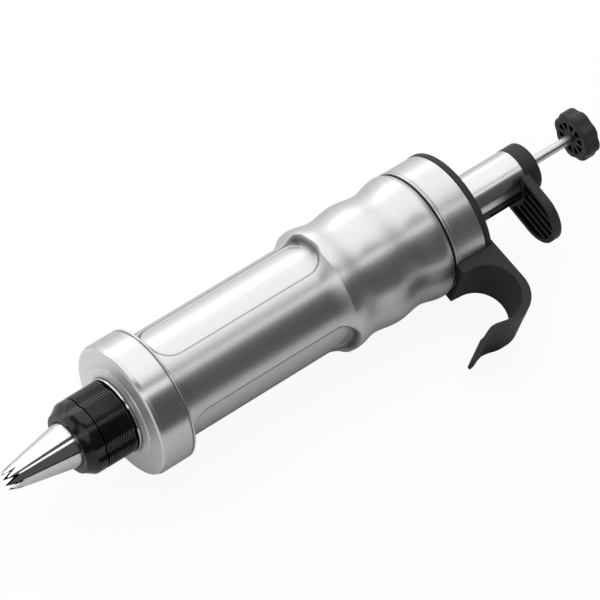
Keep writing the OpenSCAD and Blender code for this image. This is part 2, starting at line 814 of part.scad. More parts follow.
// A coil spring as one unbroken wire
module coil(r, wire_r, start_z, end_z, coils) {
    path = coil_path(r, wire_r, start_z, end_z, coils);
    last = len(path) - 1;
    climb = (end_z - start_z - 2 * wire_r) / (360 * coils);
    points = [for (i = [0:last]) let (a = 360 * coils * i / last,
        along = [-r * sin(a), r * cos(a), climb * 180 / PI],
        up = cross(along / norm(along), [cos(a), sin(a), 0]))
        for (k = [0:wire_sides - 1]) let (b = 360 * k / wire_sides)
            path[i] + wire_r * (cos(b) * [cos(a), sin(a), 0] + sin(b) * up)];
    walls = [for (i = [0:last - 1]) for (k = [0:wire_sides - 1])
        let (p = i * wire_sides + k, q = i * wire_sides + (k + 1) % wire_sides)
        for (f = [[p, p + wire_sides, q], [q, p + wire_sides, q + wire_sides]]) f];
    start_face = [for (k = [1:wire_sides - 2]) [0, k, k + 1]];
    end_face = [for (k = [1:wire_sides - 2])
        [last * wire_sides, last * wire_sides + k + 1, last * wire_sides + k]];
    polyhedron(points = points, faces = concat(walls, start_face, end_face));
    gaps = [for (i = [0:last]) for (j = [i + coil_rings / 2:1:last]) norm(path[j] - path[i])];
    echo(str("least gap of a coil to itself: ", min(gaps) - 2 * wire_r));
}

module return_spring() {
    color("silver") lay()
        coil(return_r, return_wire_d / 2, chamber_z + face_gap, grip_z - loose_gap, return_coils);
}

module lock_spring() {
    color("silver") lay()
        coil(lock_spring_r, lock_wire_d / 2, lock_chamber_z + face_gap,
            lock_pivot_z - face_gap, lock_coils);
}

// Rod: flanged where it turns in the piston, and threaded into the knob
module rod() {
    color("gainsboro") lay() union() {
        bar(rod_r, seal_z + face_gap, knob_z + knob_bore_len);
        bar(rod_flange_r, seal_z + face_gap, seal_z + face_gap + rod_flange_t);
    }
}

module piston_front() {
    color("gainsboro") lay() difference() {
        turned([[0, piston_setback + piston_dish], [hub_r, piston_setback + piston_dish],
            [hub_r + piston_dish, piston_setback], [piston_plate_r - piston_dish, piston_setback],
            [piston_plate_r, piston_setback + piston_dish], [piston_plate_r, seal_z],
            [0, seal_z]]);
        piston_screw_set(piston_screw_r + close_fit, seal_z - screw_bite, piston_end_z);
    }
}

module piston_seal() {
    groove_z = seal_z + piston_seal_t / 2;
    lip_h = piston_seal_t * (1 - seal_web_share) / 2;
    color("whitesmoke") lay() difference() {
        ring(piston_seal_r, hub_r + close_fit, seal_z + close_fit, piston_rear_z - close_fit);
        ring(piston_seal_r + cut, piston_seal_r - seal_groove_depth,
            groove_z - lip_h, groove_z + lip_h);
    }
}

// Rear plate, with the hub that the seal sits on and the pocket of the rod's flange
module piston_rear() {
    color("gainsboro") lay() difference() {
        union() {
            bar(piston_plate_r, piston_rear_z, piston_end_z);
            bar(hub_r, seal_z + close_fit, piston_end_z);
        }
        bar(rod_flange_r + loose_gap, seal_z - cut,
            seal_z + face_gap + rod_flange_t + loose_gap);
        bar(rod_r + running_fit, seal_z, piston_end_z + cut);
        piston_screw_set(piston_screw_r + close_fit, seal_z - cut, piston_end_z + cut);
        piston_screw_set(piston_screw_head_r + close_fit,
            piston_end_z - piston_screw_head_t - close_fit, piston_end_z + cut);
    }
}

// Bars at the places of the piston's screws
module piston_screw_set(r, start_z, end_z) {
    for (i = [0:piston_screw_count - 1]) rotate(360 * i / piston_screw_count)
        translate([piston_screw_ring_r, 0, start_z])
            cylinder(r = r, h = end_z - start_z, $fn = fine_fn);
}

module piston_screws() {
    color("silver") lay() union() {
        piston_screw_set(piston_screw_r, seal_z - screw_bite + close_fit,
            piston_end_z - close_fit);
        piston_screw_set(piston_screw_head_r, piston_end_z - piston_screw_head_t,
            piston_end_z - close_fit);
    }
}

// Lobed knob, with pockets between spokes in its front face
module knob() {
    dip_ring_r = knob_r + knob_dip_r - knob_dip;
    color([0.1, 0.1, 0.1]) lay() difference() {
        turned(concat([[0, knob_z], [knob_r - knob_round, knob_z],
            [knob_r, knob_z + knob_round]],
            arc([knob_r - 2 * knob_round, knob_z + knob_t - 2 * knob_round],
                2 * knob_round, 0, 90, 6),
            [[0, knob_z + knob_t]]));
        for (i = [0:knob_lobes - 1]) rotate(360 * (i + 1 / 2) / knob_lobes)
            translate([dip_ring_r, 0, knob_z - cut])
                cylinder(r = knob_dip_r, h = knob_t + 2 * cut, $fn = fine_fn);
        difference() {
            ring(knob_r - knob_rim_w, knob_hub_r, knob_z - cut, knob_z + knob_pocket_depth);
            for (i = [0:knob_pockets - 1]) rotate(360 * i / knob_pockets)
                translate([0, -knob_spoke_w / 2, knob_z - cut])
                    cube([knob_r, knob_spoke_w, knob_pocket_depth + 2 * cut]);
        }
        bar(insert_r + close_fit, knob_z - cut, knob_z + knob_bore_len + close_fit);
    }
}

module knob_insert() {
    color("darkkhaki") lay()
        ring(insert_r, rod_r + close_fit, knob_z + face_gap, knob_z + knob_bore_len);
}

// Front cap: bevelled rim, stepped face, bead at the rear edge
module front_cap() {
    bead_z = cap_skirt_len - 2 * cap_bead;
    slope_z = face_slope_share * cap_dome;
    color("silver") lay() turned([
        [cap_hole_r + close_fit, cap_face_z],
        [neck_r + neck_step, cap_face_z],
        [cap_step_r - cap_step, cap_front_z - slope_z + cap_step],
        [cap_step_r, cap_front_z - slope_z],
        [cap_r - cap_bevel, cap_front_z],
        [cap_r, cap_front_z + cap_bevel],
        [cap_r, bead_z - cap_bead], [cap_r - cap_bead, bead_z],
        [cap_r, bead_z + cap_bead], [cap_r - cap_bead, cap_skirt_len],
        [cap_bore_r, cap_skirt_len], [cap_bore_r, cap_inner_z],
        [cap_hole_r + close_fit, cap_inner_z]]);
}

module neck_fitting() {
    flange_r_neck = cap_hole_r + neck_flange_w;
    color("whitesmoke") lay() turned([
        [neck_bore_r, neck_end_z], [neck_thread_r - neck_bevel, neck_end_z],
        [neck_thread_r, neck_end_z + neck_bevel], [neck_thread_r, neck_front_z],
        [neck_r, neck_front_z], [neck_r, cap_face_z - close_fit],
        [cap_hole_r, cap_face_z - close_fit], [cap_hole_r, cap_inner_z + close_fit],
        [flange_r_neck, cap_inner_z + close_fit],
        [flange_r_neck, cap_inner_z + close_fit + neck_flange_t],
        [neck_bore_r, cap_inner_z + close_fit + neck_flange_t]]);
}

module cap_seal() {
    color("whitesmoke") lay()
        ring(cap_bore_r - close_fit, seal_in_r, cap_inner_z + close_fit,
            cap_inner_z + close_fit + seal_t);
}

// Nozzle nut: lobed outside, fine ribs, and a cone inside that holds the nozzle's flange
module nozzle_nut() {
    dip_ring_r = nut_r + nut_dip_r - nut_dip;
    seat_z = flange_z - face_gap;
    rib_pitch_z = rib_len / nut_ribs;
    color([0.08, 0.07, 0.07]) lay() difference() {
        turned([[nut_front_r - nut_lip_w + running_fit, nut_z], [nut_front_r, nut_z],
            [nut_r, nut_z + nut_bevel_len], [nut_r, nut_end_z - nut_edge],
            [nut_r - nut_edge, nut_end_z], [nut_bore_r, nut_end_z], [nut_bore_r, seat_z],
            [nozzle_base_r + running_fit, seat_z]]);
        for (i = [0:nut_lobes - 1]) rotate(nut_phase + 360 * (i + 1 / 2) / nut_lobes)
            translate([dip_ring_r, 0, nut_z - cut])
                cylinder(r = nut_dip_r, h = nut_len + 2 * cut);
        for (i = [0:nut_ribs - 1])
            ring(nut_r + cut, nut_r - nut_rib_depth, rib_start_z + i * rib_pitch_z,
                rib_start_z + (i + rib_groove_w_share) * rib_pitch_z);
    }
}

// Star nozzle: a thin cone whose end is cut into teeth that lean inwards
module nozzle() {
    tooth_angle = 360 / tooth_count;
    tooth_inner_r = tooth_ring_r - tooth_edge_t;
    notch_half_w = notch_share * tooth_inner_r * sin(tooth_angle / 2);
    notch_z = nozzle_root_z + notch_run;
    notch_end_half_w = notch_half_w * (1 + cut / (notch_z - nozzle_tip_z));
    color("whitesmoke") lay() difference() {
        turned([[tooth_ring_r, nozzle_tip_z], [nozzle_tip_r, nozzle_root_z],
            [nozzle_base_r, flange_z], [flange_r, flange_z],
            [flange_r, flange_z + nozzle_flange_t],
            [nozzle_base_r - nozzle_wall, flange_z + nozzle_flange_t],
            [nozzle_base_r - nozzle_wall, flange_z],
            [nozzle_tip_r - nozzle_wall, nozzle_root_z],
            [tooth_inner_r, nozzle_tip_z]]);
        for (i = [0:tooth_count - 1]) rotate(tooth_angle * i)
            rotate([90, 0, 90]) linear_extrude(height = nozzle_r)
                polygon([[-notch_end_half_w, nozzle_tip_z - cut], [0, notch_z],
                    [notch_end_half_w, nozzle_tip_z - cut]]);
    }
}

module nozzle_washer() {
    color("whitesmoke") lay() ring(flange_r, neck_bore_r, washer_z, washer_z + washer_t);
}

barrel_shell();
barrel_liner();
mouth_ring();
stop_plate();
stop_bush();
cover_screws();
collar_band();
rear_cover();
rear_tube();
guide_housing();
end_cap();
end_bush();
trigger();
trigger_carriage();
trigger_pin();
grip_plate();
return_spring();
lock_plate();
lock_spring();
rod();
piston_front();
piston_seal();
piston_rear();
piston_screws();
knob();
knob_insert();
front_cap();
neck_fitting();
cap_seal();
nozzle_nut();
nozzle();
nozzle_washer();
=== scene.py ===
import bpy
import math
from mathutils import Matrix, Vector


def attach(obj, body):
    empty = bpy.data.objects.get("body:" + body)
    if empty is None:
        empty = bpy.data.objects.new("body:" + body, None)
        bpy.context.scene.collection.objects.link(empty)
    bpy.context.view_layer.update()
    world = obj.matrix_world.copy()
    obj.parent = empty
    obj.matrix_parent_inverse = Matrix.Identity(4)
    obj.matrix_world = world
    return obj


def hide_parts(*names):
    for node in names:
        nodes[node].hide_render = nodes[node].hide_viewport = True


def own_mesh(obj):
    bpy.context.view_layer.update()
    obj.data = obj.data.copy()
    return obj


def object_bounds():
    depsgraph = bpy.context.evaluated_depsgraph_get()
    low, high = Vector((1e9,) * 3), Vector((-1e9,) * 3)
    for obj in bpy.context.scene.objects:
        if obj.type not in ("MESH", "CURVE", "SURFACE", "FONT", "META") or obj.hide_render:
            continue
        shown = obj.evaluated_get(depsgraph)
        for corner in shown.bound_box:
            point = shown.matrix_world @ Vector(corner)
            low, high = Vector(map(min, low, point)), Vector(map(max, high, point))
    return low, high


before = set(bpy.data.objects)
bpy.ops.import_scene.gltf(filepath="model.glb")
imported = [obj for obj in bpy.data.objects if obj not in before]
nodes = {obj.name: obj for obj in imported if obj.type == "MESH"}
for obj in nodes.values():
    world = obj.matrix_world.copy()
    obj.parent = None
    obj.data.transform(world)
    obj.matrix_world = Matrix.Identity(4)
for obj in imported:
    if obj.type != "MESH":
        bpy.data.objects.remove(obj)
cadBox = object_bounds()
mm = 0.001


# small helpers

def hexColour(code):
    # sRGB hex to linear
    parts = [int(code[i:i + 2], 16) / 255 for i in (0, 2, 4)]
    linear = [c / 12.92 if c <= 0.04045 else ((c + 0.055) / 1.055) ** 2.4 for c in parts]
    return tuple(linear) + (1,)


def addNode(tree, kind, settings=None, inputs=None):
    # one node with its settings and inputs: a socket is linked and anything else is a plain value
    node = tree.nodes.new(kind)
    for key, value in (settings or {}).items():
        setattr(node, key, value)
    for key, value in (inputs or {}).items():
        if isinstance(value, bpy.types.NodeSocket):
            tree.links.new(value, node.inputs[key])
        else:
            node.inputs[key].default_value = value
    return node


def newMaterial(name):
    material = bpy.data.materials.new(name)
    material.use_nodes = True
    tree = material.node_tree
    tree.nodes.clear()
    return material, tree


def paint(piece, material):
    piece.data.materials.clear()
    piece.data.materials.append(material)
    for face in piece.data.polygons:
        face.material_index = 0


# camera, at the photograph's angle

cameraSet = {"azimuth": -38.4, "elevation": 50.1, "distance": 1.7, "pxPerMm": 2.3636, "imagePx": 600,
             "target": (0.0911, 0, 0), "pxOffset": (1.3, 2.3), "sensorMm": 36, "near": 0.05, "far": 20}


def makeCamera(camera):
    azimuth = math.radians(camera["azimuth"])
    elevation = math.radians(camera["elevation"])
    level = Vector((math.sin(azimuth), -math.cos(azimuth), 0))
    back = level * math.cos(elevation) + Vector((0, 0, math.sin(elevation)))
    right = Vector((math.cos(azimuth), math.sin(azimuth), 0))
    up = back.cross(right)
    eye = bpy.data.objects.new("camera", bpy.data.cameras.new("camera"))
    bpy.context.scene.collection.objects.link(eye)
    perPx = mm / camera["pxPerMm"]
    offRight, offUp = camera["pxOffset"]
    aim = Vector(camera["target"]) - right * offRight * perPx + up * offUp * perPx
    eye.location = aim + back * camera["distance"]
    eye.rotation_mode = "QUATERNION"
    eye.rotation_quaternion = (-back).to_track_quat("-Z", "Y")
    eye.data.sensor_width = camera["sensorMm"]
    eye.data.lens = camera["sensorMm"] * camera["distance"] / (camera["imagePx"] * perPx)
    eye.data.clip_start = camera["near"]
    eye.data.clip_end = camera["far"]
    bpy.context.scene.camera = eye


makeCamera(cameraSet)
bpy.context.scene.view_settings.view_transform = "Standard"
print("camera ready")


# studio: four soft lamps, a dim room, a white floor and a black card that the steel mirrors

lampSet = {
    "overhead": {"at": (0.25, 0.58, 0.95), "look": (0.1, 0.1, 0), "size": (2.4, 1.9), "radiance": 1.33},
    "strip": {"at": (0.1, -0.47, 0.83), "look": (0.1, 0, 0), "size": (2.4, 0.19), "radiance": 1.35},
    "back": {"at": (0.1, 1.9, 0.55), "look": (0.1, 0, 0.3), "size": (3.4, 1.3), "radiance": 1.0},
    "left": {"at": (-1.1, -0.35, 0.55), "look": (0, 0, 0), "size": (0.9, 0.9), "radiance": 1.1},
}
roomSet = {"grey": 0.09, "middle": 0.1, "floorSize": 6, "floorColour": "e4e4e4",
           "glow": 1.04, "glowShare": 0.88}
cardSet = {"middle": 0.1, "near": -0.275, "far": -0.6, "rise": 0.045, "length": 3, "lift": 0.001,
           "colour": "141414"}


def hangLamps(lamps):
    for name, lamp in lamps.items():
        light = bpy.data.lights.new(name, "AREA")
        light.shape = "RECTANGLE"
        light.size, light.size_y = lamp["size"]
        light.energy = math.pi * light.size * light.size_y * lamp["radiance"]
        holder = bpy.data.objects.new(name, light)
        holder.location = lamp["at"]
        holder.rotation_mode = "QUATERNION"
        beam = Vector(lamp["look"]) - Vector(lamp["at"])
        holder.rotation_quaternion = beam.to_track_quat("-Z", "Y")
        holder.visible_camera = False
        bpy.context.scene.collection.objects.link(holder)


def makeRoom(room):
    # dim grey for what the steel mirrors, white for the camera
    world = bpy.data.worlds.new("studio")
    world.use_nodes = True
    tree = world.node_tree
    tree.nodes.clear()
    rays = addNode(tree, "ShaderNodeLightPath")
    dim = addNode(tree, "ShaderNodeBackground", None, {"Color": (1, 1, 1, 1), "Strength": room["grey"]})
    white = addNode(tree, "ShaderNodeBackground", None, {"Color": (1, 1, 1, 1), "Strength": 1})
    mix = addNode(tree, "ShaderNodeMixShader", None,
                  {0: rays.outputs["Is Camera Ray"], 1: dim.outputs[0], 2: white.outputs[0]})
    addNode(tree, "ShaderNodeOutputWorld", None, {"Surface": mix.outputs[0]})
    bpy.context.scene.world = world


def makeFloor(room):
    bpy.ops.mesh.primitive_plane_add(size=room["floorSize"], location=(room["middle"], 0, cadBox[0][2]))
    floor = bpy.context.object
    floor.name = "floor"
    material, tree = newMaterial("matt white paper floor")
    paper = addNode(tree, "ShaderNodeBsdfDiffuse", None, {"Color": hexColour(room["floorColour"])})
    # the camera sees mostly a plain white glow, so that only a faint shadow is left
    rays = addNode(tree, "ShaderNodeLightPath")
    glow = addNode(tree, "ShaderNodeEmission", None, {"Color": (1, 1, 1, 1), "Strength": room["glow"]})
    share = addNode(tree, "ShaderNodeMath", {"operation": "MULTIPLY"},
                    {0: rays.outputs["Is Camera Ray"], 1: room["glowShare"]})
    mix = addNode(tree, "ShaderNodeMixShader", None,
                  {0: share.outputs[0], 1: paper.outputs[0], 2: glow.outputs[0]})
    addNode(tree, "ShaderNodeOutputMaterial", None, {"Surface": mix.outputs[0]})
    paint(floor, material)


def makeCard(card):
    # out of the camera's sight: the dark band along the steel is its reflection
    width = card["near"] - card["far"]
    centre = Vector((card["middle"], (card["near"] + card["far"]) / 2, cadBox[0][2] + card["rise"] / 2))
    bpy.ops.mesh.primitive_plane_add(size=1, location=centre + Vector((0, 0, card["lift"])))
    sheet = bpy.context.object
    sheet.name = "blackCard"
    bpy.ops.object.mode_set(mode="EDIT")
    bpy.ops.transform.resize(value=(card["length"], width, 1))
    bpy.ops.transform.rotate(value=math.atan2(card["rise"], width), orient_axis="X",
                             orient_type="GLOBAL", center_override=centre)
    bpy.ops.object.mode_set(mode="OBJECT")
    material, tree = newMaterial("matt black card")
    felt = addNode(tree, "ShaderNodeBsdfDiffuse", None, {"Color": hexColour(card["colour"])})
    addNode(tree, "ShaderNodeOutputMaterial", None, {"Surface": felt.outputs[0]})
    paint(sheet, material)
    sheet.visible_camera = False
    sheet.visible_shadow = False
    sheet.visible_diffuse = False


hangLamps(lampSet)
makeRoom(roomSet)
makeFloor(roomSet)
makeCard(cardSet)
print("studio ready")


# materials

hollowSet = {"samples": 6, "from": 0.45, "to": 0.92}
metalSet = {"streakMm": 16.67, "cloudMm": 22.22, "haze": 0.02, "reliefMm": 0.05,
            "hollowMm": 1.8, "hollowShade": 0.3, "brushTurn": 0.25}
plasticSet = {"cloudMm": 16.67, "haze": 0.06, "reliefMm": 0.04, "hollowMm": 14, "hollowShade": 0.1,
              "refraction": 1.5}


# in a colour mix, input 0 is the share, inputs 6 and 7 are the colours and output 2 is the result

def paintShadeInHollows(tree, tint, reachMm, darkest):
    # painted shade: ambient occlusion darkens the colour in creases and hollows, where shade falls
    hollow = addNode(tree, "ShaderNodeAmbientOcclusion", {"samples": hollowSet["samples"]},
                     {"Distance": reachMm * mm})
    shade = addNode(tree, "ShaderNodeMapRange", None,
                    {"Value": hollow.outputs["AO"], "From Min": hollowSet["from"],
                     "From Max": hollowSet["to"], "To Min": darkest})
    return addNode(tree, "ShaderNodeMix", {"data_type": "RGBA", "blend_type": "MULTIPLY"},
                   {0: 1, 6: tint.outputs[2], 7: shade.outputs[0]})


def brushedMetal(name, colours, roughness, grainMm, bump, swing=0.05, stretch=0.0, creaseShade=0.0):
    # brushed or turned round the axis: fine rings, so that the gloss varies from ring to ring
    material, tree = newMaterial(name)
    where = addNode(tree, "ShaderNodeTexCoord")
    # rings on the sides follow x, rings on the flat faces follow the radius, so both are added
    across = addNode(tree, "ShaderNodeVectorMath", {"operation": "MULTIPLY"},
                     {0: where.outputs["Object"], 1: (0, 1, 1)})
    radius = addNode(tree, "ShaderNodeVectorMath", {"operation": "LENGTH"}, {0: across.outputs[0]})
    along = addNode(tree, "ShaderNodeCombineXYZ", None, {"X": radius.outputs["Value"]})
    spread = addNode(tree, "ShaderNodeVectorMath", {"operation": "ADD"},
                     {0: where.outputs["Object"], 1: along.outputs[0]})
    streak = 1 / (metalSet["streakMm"] * mm)
    fine = addNode(tree, "ShaderNodeMapping", None,
                   {"Vector": spread.outputs[0], "Scale": (1 / (grainMm * mm), streak, streak)})
    grain = addNode(tree, "ShaderNodeTexNoise", {"noise_dimensions": "3D"},
                    {"Vector": fine.outputs[0], "Scale": 1, "Detail": 3, "Roughness": 0.6})
    cloudy = addNode(tree, "ShaderNodeTexNoise", None,
                     {"Vector": where.outputs["Object"], "Scale": 1 / (metalSet["cloudMm"] * mm),
                      "Detail": 2})
    rough = addNode(tree, "ShaderNodeMapRange", None,
                    {"Value": grain.outputs["Fac"], "To Min": roughness - swing,
                     "To Max": roughness + swing})
    haze = addNode(tree, "ShaderNodeMapRange", None,
                   {"Value": cloudy.outputs["Fac"], "To Min": -metalSet["haze"],
                    "To Max": metalSet["haze"]})
    gloss = addNode(tree, "ShaderNodeMath", {"operation": "ADD"},
                    {0: rough.outputs[0], 1: haze.outputs[0]})
    tint = addNode(tree, "ShaderNodeMix", {"data_type": "RGBA"},
                   {0: grain.outputs["Fac"], 6: hexColour(colours[0]), 7: hexColour(colours[1])})
    # painted shade: the metal's colour is darkened in creases and hollows
    shaded = paintShadeInHollows(tree, tint, metalSet["hollowMm"], metalSet["hollowShade"])
    # painted shade: the pressed edges are marked by an attribute of the mesh, and the colour is darkened
    # along them
    mark = addNode(tree, "ShaderNodeAttribute", {"attribute_name": "crease"})
    creaseDarkening = addNode(tree, "ShaderNodeMapRange", None,
                   {"Value": mark.outputs["Fac"], "To Min": 1, "To Max": 1 - creaseShade})
    creaseShaded = addNode(tree, "ShaderNodeMix", {"data_type": "RGBA", "blend_type": "MULTIPLY"},
                      {0: 1, 6: shaded.outputs[2], 7: creaseDarkening.outputs[0]})
    relief = addNode(tree, "ShaderNodeBump", None,
                     {"Height": grain.outputs["Fac"], "Strength": bump,
                      "Distance": metalSet["reliefMm"] * mm})
    # the brush went round the axis, so highlights are drawn out across it
    circling = addNode(tree, "ShaderNodeVectorMath", {"operation": "CROSS_PRODUCT"},
                       {0: (1, 0, 0), 1: where.outputs["Object"]})
    shader = addNode(tree, "ShaderNodeBsdfPrincipled", None,
                     {"Base Color": creaseShaded.outputs[2], "Metallic": 1, "Roughness": gloss.outputs[0],
                      "Normal": relief.outputs[0], "Tangent": circling.outputs[0],
                      "Anisotropic": stretch, "Anisotropic Rotation": metalSet["brushTurn"]})
    addNode(tree, "ShaderNodeOutputMaterial", None, {"Surface": shader.outputs[0]})
    return material


def mouldedPlastic(name, colours, roughness, grainMm, bump, gloss=0.5):
    # moulded in a fine spark-eroded tool: a faint grain, with soft highlights of uneven sheen
    material, tree = newMaterial(name)
    where = addNode(tree, "ShaderNodeTexCoord")
    grain = addNode(tree, "ShaderNodeTexNoise", None,
                    {"Vector": where.outputs["Object"], "Scale": 1 / (grainMm * mm), "Detail": 2})
    cloudy = addNode(tree, "ShaderNodeTexNoise", None,
                     {"Vector": where.outputs["Object"], "Scale": 1 / (plasticSet["cloudMm"] * mm),
                      "Detail": 2})
    rough = addNode(tree, "ShaderNodeMapRange", None,
                    {"Value": cloudy.outputs["Fac"], "To Min": roughness - plasticSet["haze"],
                     "To Max": roughness + plasticSet["haze"]})
    tint = addNode(tree, "ShaderNodeMix", {"data_type": "RGBA"},
                   {0: cloudy.outputs["Fac"], 6: hexColour(colours[0]), 7: hexColour(colours[1])})
    # painted shade: the plastic's colour is darkened in hollows such as the hook's arch
    shaded = paintShadeInHollows(tree, tint, plasticSet["hollowMm"], plasticSet["hollowShade"])
    relief = addNode(tree, "ShaderNodeBump", None,
                     {"Height": grain.outputs["Fac"], "Strength": bump,
                      "Distance": plasticSet["reliefMm"] * mm})
    shader = addNode(tree, "ShaderNodeBsdfPrincipled", None,
                     {"Base Color": shaded.outputs[2], "Roughness": rough.outputs[0],
                      "Normal": relief.outputs[0], "IOR": plasticSet["refraction"],
                      "Specular IOR Level": gloss})
    addNode(tree, "ShaderNodeOutputMaterial", None, {"Surface": shader.outputs[0]})
    return material


# stainless sheet, brushed round: soft grey, with highlights spread into broad bands
steel = brushedMetal("brushed stainless steel", ("c9c9c9", "e2e2e2"),
                     roughness=0.4, grainMm=0.12, bump=0.4, swing=0.07, stretch=0.75)
# the same, with painted shade along the pressed edges of the panels
barrelSteel = brushedMetal("brushed stainless barrel steel", ("c9c9c9", "e2e2e2"), creaseShade=0.8,
                           roughness=0.4, grainMm=0.12, bump=0.4, swing=0.07, stretch=0.75)
# faced on a lathe: rougher and without a brush direction, and its near-white colour is painted light, so
# that the face reads bright and even
turnedFaceBrightSteel = brushedMetal("turned stainless face, painted bright", ("f0f0f0", "fafafa"),
                         roughness=0.5, grainMm=0.16, bump=0.4, swing=0.09)
# a finer brush: the light and dark bands are narrower
capSteel = brushedMetal("fine brushed stainless steel", ("cdcdcd", "dedede"),
                        roughness=0.32, grainMm=0.1, bump=0.35, swing=0.06, stretch=0.8)
# drawn tube, lightly brushed: clearer reflections
tubeSteel = brushedMetal("satin stainless tube", ("cbcbcb", "dadada"),
                         roughness=0.25, grainMm=0.12, bump=0.15, swing=0.04, stretch=0.5)
# polished: nearly a mirror
polished = brushedMetal("polished stainless steel", ("d8d8d8", "e2e2e2"),
                        roughness=0.1, grainMm=0.1, bump=0.05, swing=0.02)
# centreless ground: an even, soft shine
rodSteel = brushedMetal("ground stainless rod", ("c4c4c4", "d4d4d4"), roughness=0.36, grainMm=0.1, bump=0.2)
# metals of the inner parts, each with a plain satin shine
innerSteel = brushedMetal("drawn stainless steel", ("bdbdc0", "cacacc"),
                          roughness=0.3, grainMm=0.2, bump=0.2)
springSteel = brushedMetal("zinc plated spring steel", ("a6a8ac", "b6b8bc"),
                           roughness=0.3, grainMm=0.3, bump=0.1)
castMetal = brushedMetal("turned aluminium", ("c2c3c5", "cfd0d2"), roughness=0.33, grainMm=0.2, bump=0.2)
darkBrass = brushedMetal("blackened brass", ("33302c", "3d3934"), roughness=0.35, grainMm=0.2, bump=0.1)
# satin mouldings: charcoal in the light, with a weak sheen
black = mouldedPlastic("moulded black nylon", ("373738", "3f3f40"),
                       roughness=0.42, grainMm=0.35, bump=0.25, gloss=0.13)
# the slippery guide in the tube: black even in the light
deepBlack = mouldedPlastic("moulded black acetal", ("0e0e0f", "141415"),
                           roughness=0.4, grainMm=0.35, bump=0.2, gloss=0.3)
# from a polished mould: black, with small sharp highlights
glossBlack = mouldedPlastic("glossy black ABS", ("0d0a0a", "171211"),
                            roughness=0.18, grainMm=0.5, bump=0.1, gloss=0.4)
# bushes and the trigger's carriage: dull grey
greyPlastic = mouldedPlastic("grey acetal", ("5c5d5f", "666769"), roughness=0.45, grainMm=0.3, bump=0.1)
# soft seals: milky white
silicone = mouldedPlastic("translucent white silicone", ("dad9d4", "e6e5e1"),
                          roughness=0.5, grainMm=0.3, bump=0.05)

finishes = {
    "barrel_shell": steel, "barrel_liner": innerSteel, "mouth_ring": steel, "stop_plate": innerSteel,
    "stop_bush": greyPlastic, "cover_screws": springSteel, "collar_band": steel,
    "rear_cover": black, "rear_tube": tubeSteel, "guide_housing": deepBlack, "end_cap": black,
    "end_bush": greyPlastic, "trigger": black, "trigger_carriage": greyPlastic,
    "trigger_pin": springSteel, "grip_plate": springSteel, "return_spring": springSteel,
    "lock_plate": springSteel, "lock_spring": springSteel, "rod": rodSteel,
    "piston_front": castMetal, "piston_seal": silicone, "piston_rear": castMetal,
    "piston_screws": springSteel, "knob": black, "knob_insert": darkBrass, "front_cap": steel,
    "neck_fitting": polished, "cap_seal": silicone, "nozzle_nut": glossBlack, "nozzle": polished,
    "nozzle_washer": silicone,
}
for nodeName, finish in finishes.items():
    paint(nodes[nodeName], finish)
print("materials on", len(finishes), "solids")


# modelling helpers: every piece is made upright, in mm, and then laid down as the syringe lies

droop = 16
layMatrix = Matrix.Rotation(math.radians(droop - 90), 4, "X") @ Matrix.Rotation(math.radians(90), 4, "Y")
weld = 0.002 * mm
overshoot = 1  # how far a cutter stands out of the face that it cuts, in mm


def clearSelection():
    if bpy.context.mode != "OBJECT":
        bpy.ops.object.mode_set(mode="OBJECT")
    bpy.ops.object.select_all(action="DESELECT")


def pick(piece):
    clearSelection()
    piece.select_set(True)
    bpy.context.view_layer.objects.active = piece


def drawLine(name, points):
    # a chain of edges through points in mm, each one extruded from the last
    clearSelection()
    bpy.ops.mesh.primitive_plane_add(size=mm)
    piece = bpy.context.object
    piece.name = name
    bpy.ops.object.mode_set(mode="EDIT")
    bpy.ops.mesh.merge(type="CENTER")
    here = Vector(points[0]) * mm
    bpy.ops.transform.translate(value=here)
    for point in points[1:]:
        there = Vector(point) * mm
        bpy.ops.mesh.extrude_vertices_move(TRANSFORM_OT_translate={"value": there - here})
        here = there
    return piece


def turned(name, outline, steps=128):
    # an outline of (radius, place along the axis), spun round the axis
    outline = list(outline) + [outline[0]]
    piece = drawLine(name, [(r, 0, z) for r, z in outline])
    bpy.ops.mesh.select_all(action="SELECT")
    bpy.ops.mesh.spin(steps=steps, angle=math.tau, center=(0, 0, 0), axis=(0, 0, 1))
    bpy.ops.mesh.select_all(action="SELECT")
    bpy.ops.mesh.remove_doubles(threshold=weld)
    bpy.ops.mesh.normals_make_consistent(inside=False)
    bpy.ops.object.mode_set(mode="OBJECT")
    return piece


def pulled(name, points, by):
    # a flat outline, filled and extruded by a vector
    piece = drawLine(name, list(points) + [points[0]])
    bpy.ops.mesh.select_all(action="SELECT")
    bpy.ops.mesh.remove_doubles(threshold=weld)
    bpy.ops.mesh.edge_face_add()
    bpy.ops.mesh.extrude_region_move(TRANSFORM_OT_translate={"value": Vector(by) * mm})
    bpy.ops.mesh.select_all(action="SELECT")
    bpy.ops.mesh.normals_make_consistent(inside=False)
    bpy.ops.object.mode_set(mode="OBJECT")
    return piece


def cutWith(piece, cutter):
    # takes the cutter's shape out of the piece and removes the cutter
    cut = piece.modifiers.new("cut", "BOOLEAN")
    cut.operation = "DIFFERENCE"
    cut.solver = "EXACT"
    cut.object = cutter
    pick(piece)
    bpy.ops.object.modifier_apply(modifier=cut.name)
    bpy.data.objects.remove(cutter)


def softenEdges(piece, width, segments=2, angle=50):
    bevel = piece.modifiers.new("soft edges", "BEVEL")
    bevel.width = width * mm
    bevel.segments = segments
    bevel.limit_method = "ANGLE"
    bevel.angle_limit = math.radians(angle)
    pick(piece)
    bpy.ops.object.modifier_apply(modifier=bevel.name)


def joinAll(pieces):
    pick(pieces[0])
    for other in pieces[1:]:
        other.select_set(True)
    bpy.ops.object.join()
    return pieces[0]


def repeatRound(piece, count):
    # copies of a piece round the axis, each with its own mesh
    copies = [piece]
    for i in range(1, count):
        twin = piece.copy()
        twin.data = piece.data.copy()
        twin.data.transform(Matrix.Rotation(math.tau * i / count, 4, "Z"))
        bpy.context.scene.collection.objects.link(twin)
        copies.append(twin)
    return copies


